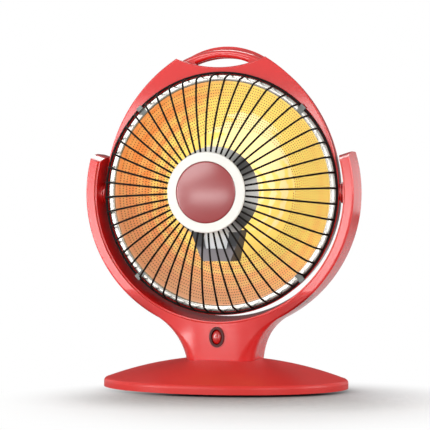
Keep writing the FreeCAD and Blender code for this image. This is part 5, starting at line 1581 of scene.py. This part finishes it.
@dataclass
class Studio:
    """Floor, soft lights, backdrop and camera.

    Attributes:
        aim: Point that the camera looks at.
        azimuth: Camera's turn round the object in degrees.
        elevation: Camera's rise above the horizon in degrees.
        distance: Camera's distance from the aim.
        lens: Focal length in millimetres.
        sensor: Width of the camera's sensor in millimetres.
        shift: Sideways and upward shift of the frame.
        ambient: Even light from all round.
        floor_radius: Radius of the floor.
        floor_sides: Sides of the floor.
        board: Colour of the floor.
        board_roughness: Roughness of the floor.
        contact: Distance at which the object begins to darken the floor.
        contact_samples: Rays that look for the object from the floor.
        depth: How much it darkens it.
        lift: Brightness that the floor gains in the picture alone.
        shadow: Middle of the floor that keeps the object's shadow.
        fade: Distances from it between which the floor fades into the background.
        card: Left and right edge, height and distance of the grey card behind the object.
        card_gap: Height of the card's lower edge.
        card_level: How bright the card is.
        lamps: The softboxes.
    """

    aim: Point = (0.0, 0.0, 0.194)
    azimuth: float = 16.65
    elevation: float = -0.72
    distance: float = 1.9
    lens: float = 157.4
    sensor: float = 36.0
    shift: Pair = (-0.0238, -0.0437)
    ambient: float = 0.13
    floor_radius: float = 3.0
    floor_sides: int = 96
    board: str = "#fbfbfb"
    board_roughness: float = 0.9
    contact: float = 0.22
    contact_samples: int = 12
    depth: float = 4.4
    lift: float = 0.17
    shadow: Point = (0.07, -0.14, 0.0)
    fade: Pair = (0.10, 0.27)
    card: tuple[float, float, float, float] = (-1.7, 0.4, 1.7, 1.5)
    card_gap: float = 0.02
    card_level: float = 0.12
    lamps: tuple[Softbox, ...] = (
        Softbox("key", (-0.75, -1.42, 0.80), 1.0, 0.55, 8.8, 25.0),
        Softbox("fill", (1.0, -1.40, 0.45), 0.6, 0.8, 7.0),
        Softbox("side", (1.5, -0.1, 0.55), 0.8, 0.8, 12.5),
        Softbox("over", (-0.23, 0.77, 1.40), 0.5, 0.6, 7.6),
        Softbox("front", (-0.315, -1.40, 0.135), 0.87, 0.21, 4.0),
        Softbox("strip", (-0.60, -0.50, 0.12), 0.2, 0.4, 2.8),
    )

    def build(self) -> None:
        """Sets up the whole stage."""
        self.camera()
        self.backdrop()
        self.floor()
        self.grey_card()
        for lamp in self.lamps:
            lamp.hang(self.aim)

    def camera(self) -> None:
        """Places the camera as the picture was taken."""
        turn, rise = math.radians(self.azimuth), math.radians(self.elevation)
        back = Vector((
            math.sin(turn) * math.cos(rise), -math.cos(turn) * math.cos(rise), math.sin(rise)
        ))
        data = bpy.data.cameras.new("camera")
        data.lens = self.lens
        data.sensor_width = self.sensor
        data.shift_x, data.shift_y = self.shift
        made = bpy.data.objects.new("camera", data)
        made.location = Vector(self.aim) + back * self.distance
        made.rotation_euler = (-back).to_track_quat("-Z", "Y").to_euler()
        bpy.context.scene.collection.objects.link(made)
        bpy.context.scene.camera = made

    def backdrop(self) -> None:
        """Lights the room evenly and shows a white background, also in metal and glass."""
        world = bpy.data.worlds.new("studio")
        bpy.context.scene.world = world
        world.use_nodes = True
        add = partial(add_node, world.node_tree)
        rays = add("ShaderNodeLightPath").outputs
        seen = add(MATH, [rays["Is Camera Ray"], rays["Is Glossy Ray"]], operation="ADD")
        clear = add(MATH, [seen, rays["Is Transmission Ray"]], operation="ADD")
        level = add(RANGE, [clear, 0.0, 1.0, self.ambient, 1.0])
        shade = world.node_tree.nodes["Background"]
        feed(shade, {"Color": linear(WHITE_LIGHT), "Strength": level})

    def floor(self) -> None:
        """Lays a pale floor that fades into the background."""
        work = bmesh.new()
        bmesh.ops.create_circle(
            work, cap_ends=True, segments=self.floor_sides, radius=self.floor_radius
        )
        made = new_piece("floor", clean(work, "floor"))
        # Pale studio board: white, with the soft shadow of the object on it.
        board = bpy.data.materials.new("board_white")
        board.use_nodes = True
        add = partial(add_node, board.node_tree)
        near = add(
            "ShaderNodeAmbientOcclusion",
            {"Color": linear(self.board), "Distance": self.contact}, samples=self.contact_samples,
        )
        deep = add("ShaderNodeGamma", [near, self.depth])
        place = add("ShaderNodeTexCoord").outputs["Object"]
        away = add(VECTOR, [place, self.shadow], operation="DISTANCE")
        fade = add(RANGE, [away, *self.fade], interpolation_type="SMOOTHSTEP")
        pictured = add("ShaderNodeLightPath").outputs["Is Camera Ray"]
        shader = feed(board.node_tree.nodes["Principled BSDF"], {
            "Roughness": self.board_roughness, "Base Color": deep, "Emission Color": deep,
            "Emission Strength": add(MATH, [pictured, self.lift], operation="MULTIPLY"),
        })
        share = add(MATH, [fade, pictured], operation="MULTIPLY")
        white = add("ShaderNodeEmission", {"Color": linear(WHITE_LIGHT), "Strength": 1.0})
        mixed = add("ShaderNodeMixShader", [share, shader, white])
        feed(board.node_tree.nodes["Material Output"], {"Surface": mixed})
        made.data.materials.append(board)

    def grey_card(self) -> None:
        """Stands a grey card behind the object, seen only in reflections."""
        left, right, height, behind = self.card
        work = bmesh.new()
        bmesh.ops.create_grid(work, x_segments=1, y_segments=1, size=0.5)
        made = new_piece("grey_card", clean(work, "grey_card"))
        made.data.transform(
            Matrix.Translation(((left + right) / 2.0, behind, height / 2.0 + self.card_gap))
            @ Matrix.Rotation(QUARTER_TURN, 4, "X")
            @ Matrix.Diagonal((right - left, height, 1.0, 1.0))
        )
        # Grey studio card: keeps the edges of the gloss mouldings deep red.
        card = bpy.data.materials.new("card_grey")
        card.use_nodes = True
        tone = add_node(
            card.node_tree, "ShaderNodeEmission",
            {"Color": linear(WHITE_LIGHT), "Strength": self.card_level},
        )
        feed(card.node_tree.nodes["Material Output"], {"Surface": tone})
        made.data.materials.append(card)
        for ray in ("camera", "diffuse", "transmission", "shadow"):
            setattr(made, f"visible_{ray}", False)


def main() -> None:
    """Dresses the frame, adds the pieces and sets the stage."""
    logging.basicConfig(level=logging.INFO, format="%(name)s %(message)s")
    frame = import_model()
    groups: tuple[SubAssembly, ...] = (
        Base(), Yoke(), Switch(), HeadShell(), Reflector(), Guard(), Hub(), Lamp(), Fasteners()
    )
    for group in groups:
        group.dress(frame["nodes"])
        group.build()
    Studio().build()
    bpy.context.scene.view_settings.view_transform = "Standard"
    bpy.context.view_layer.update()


if __name__ == "__main__":
    main()
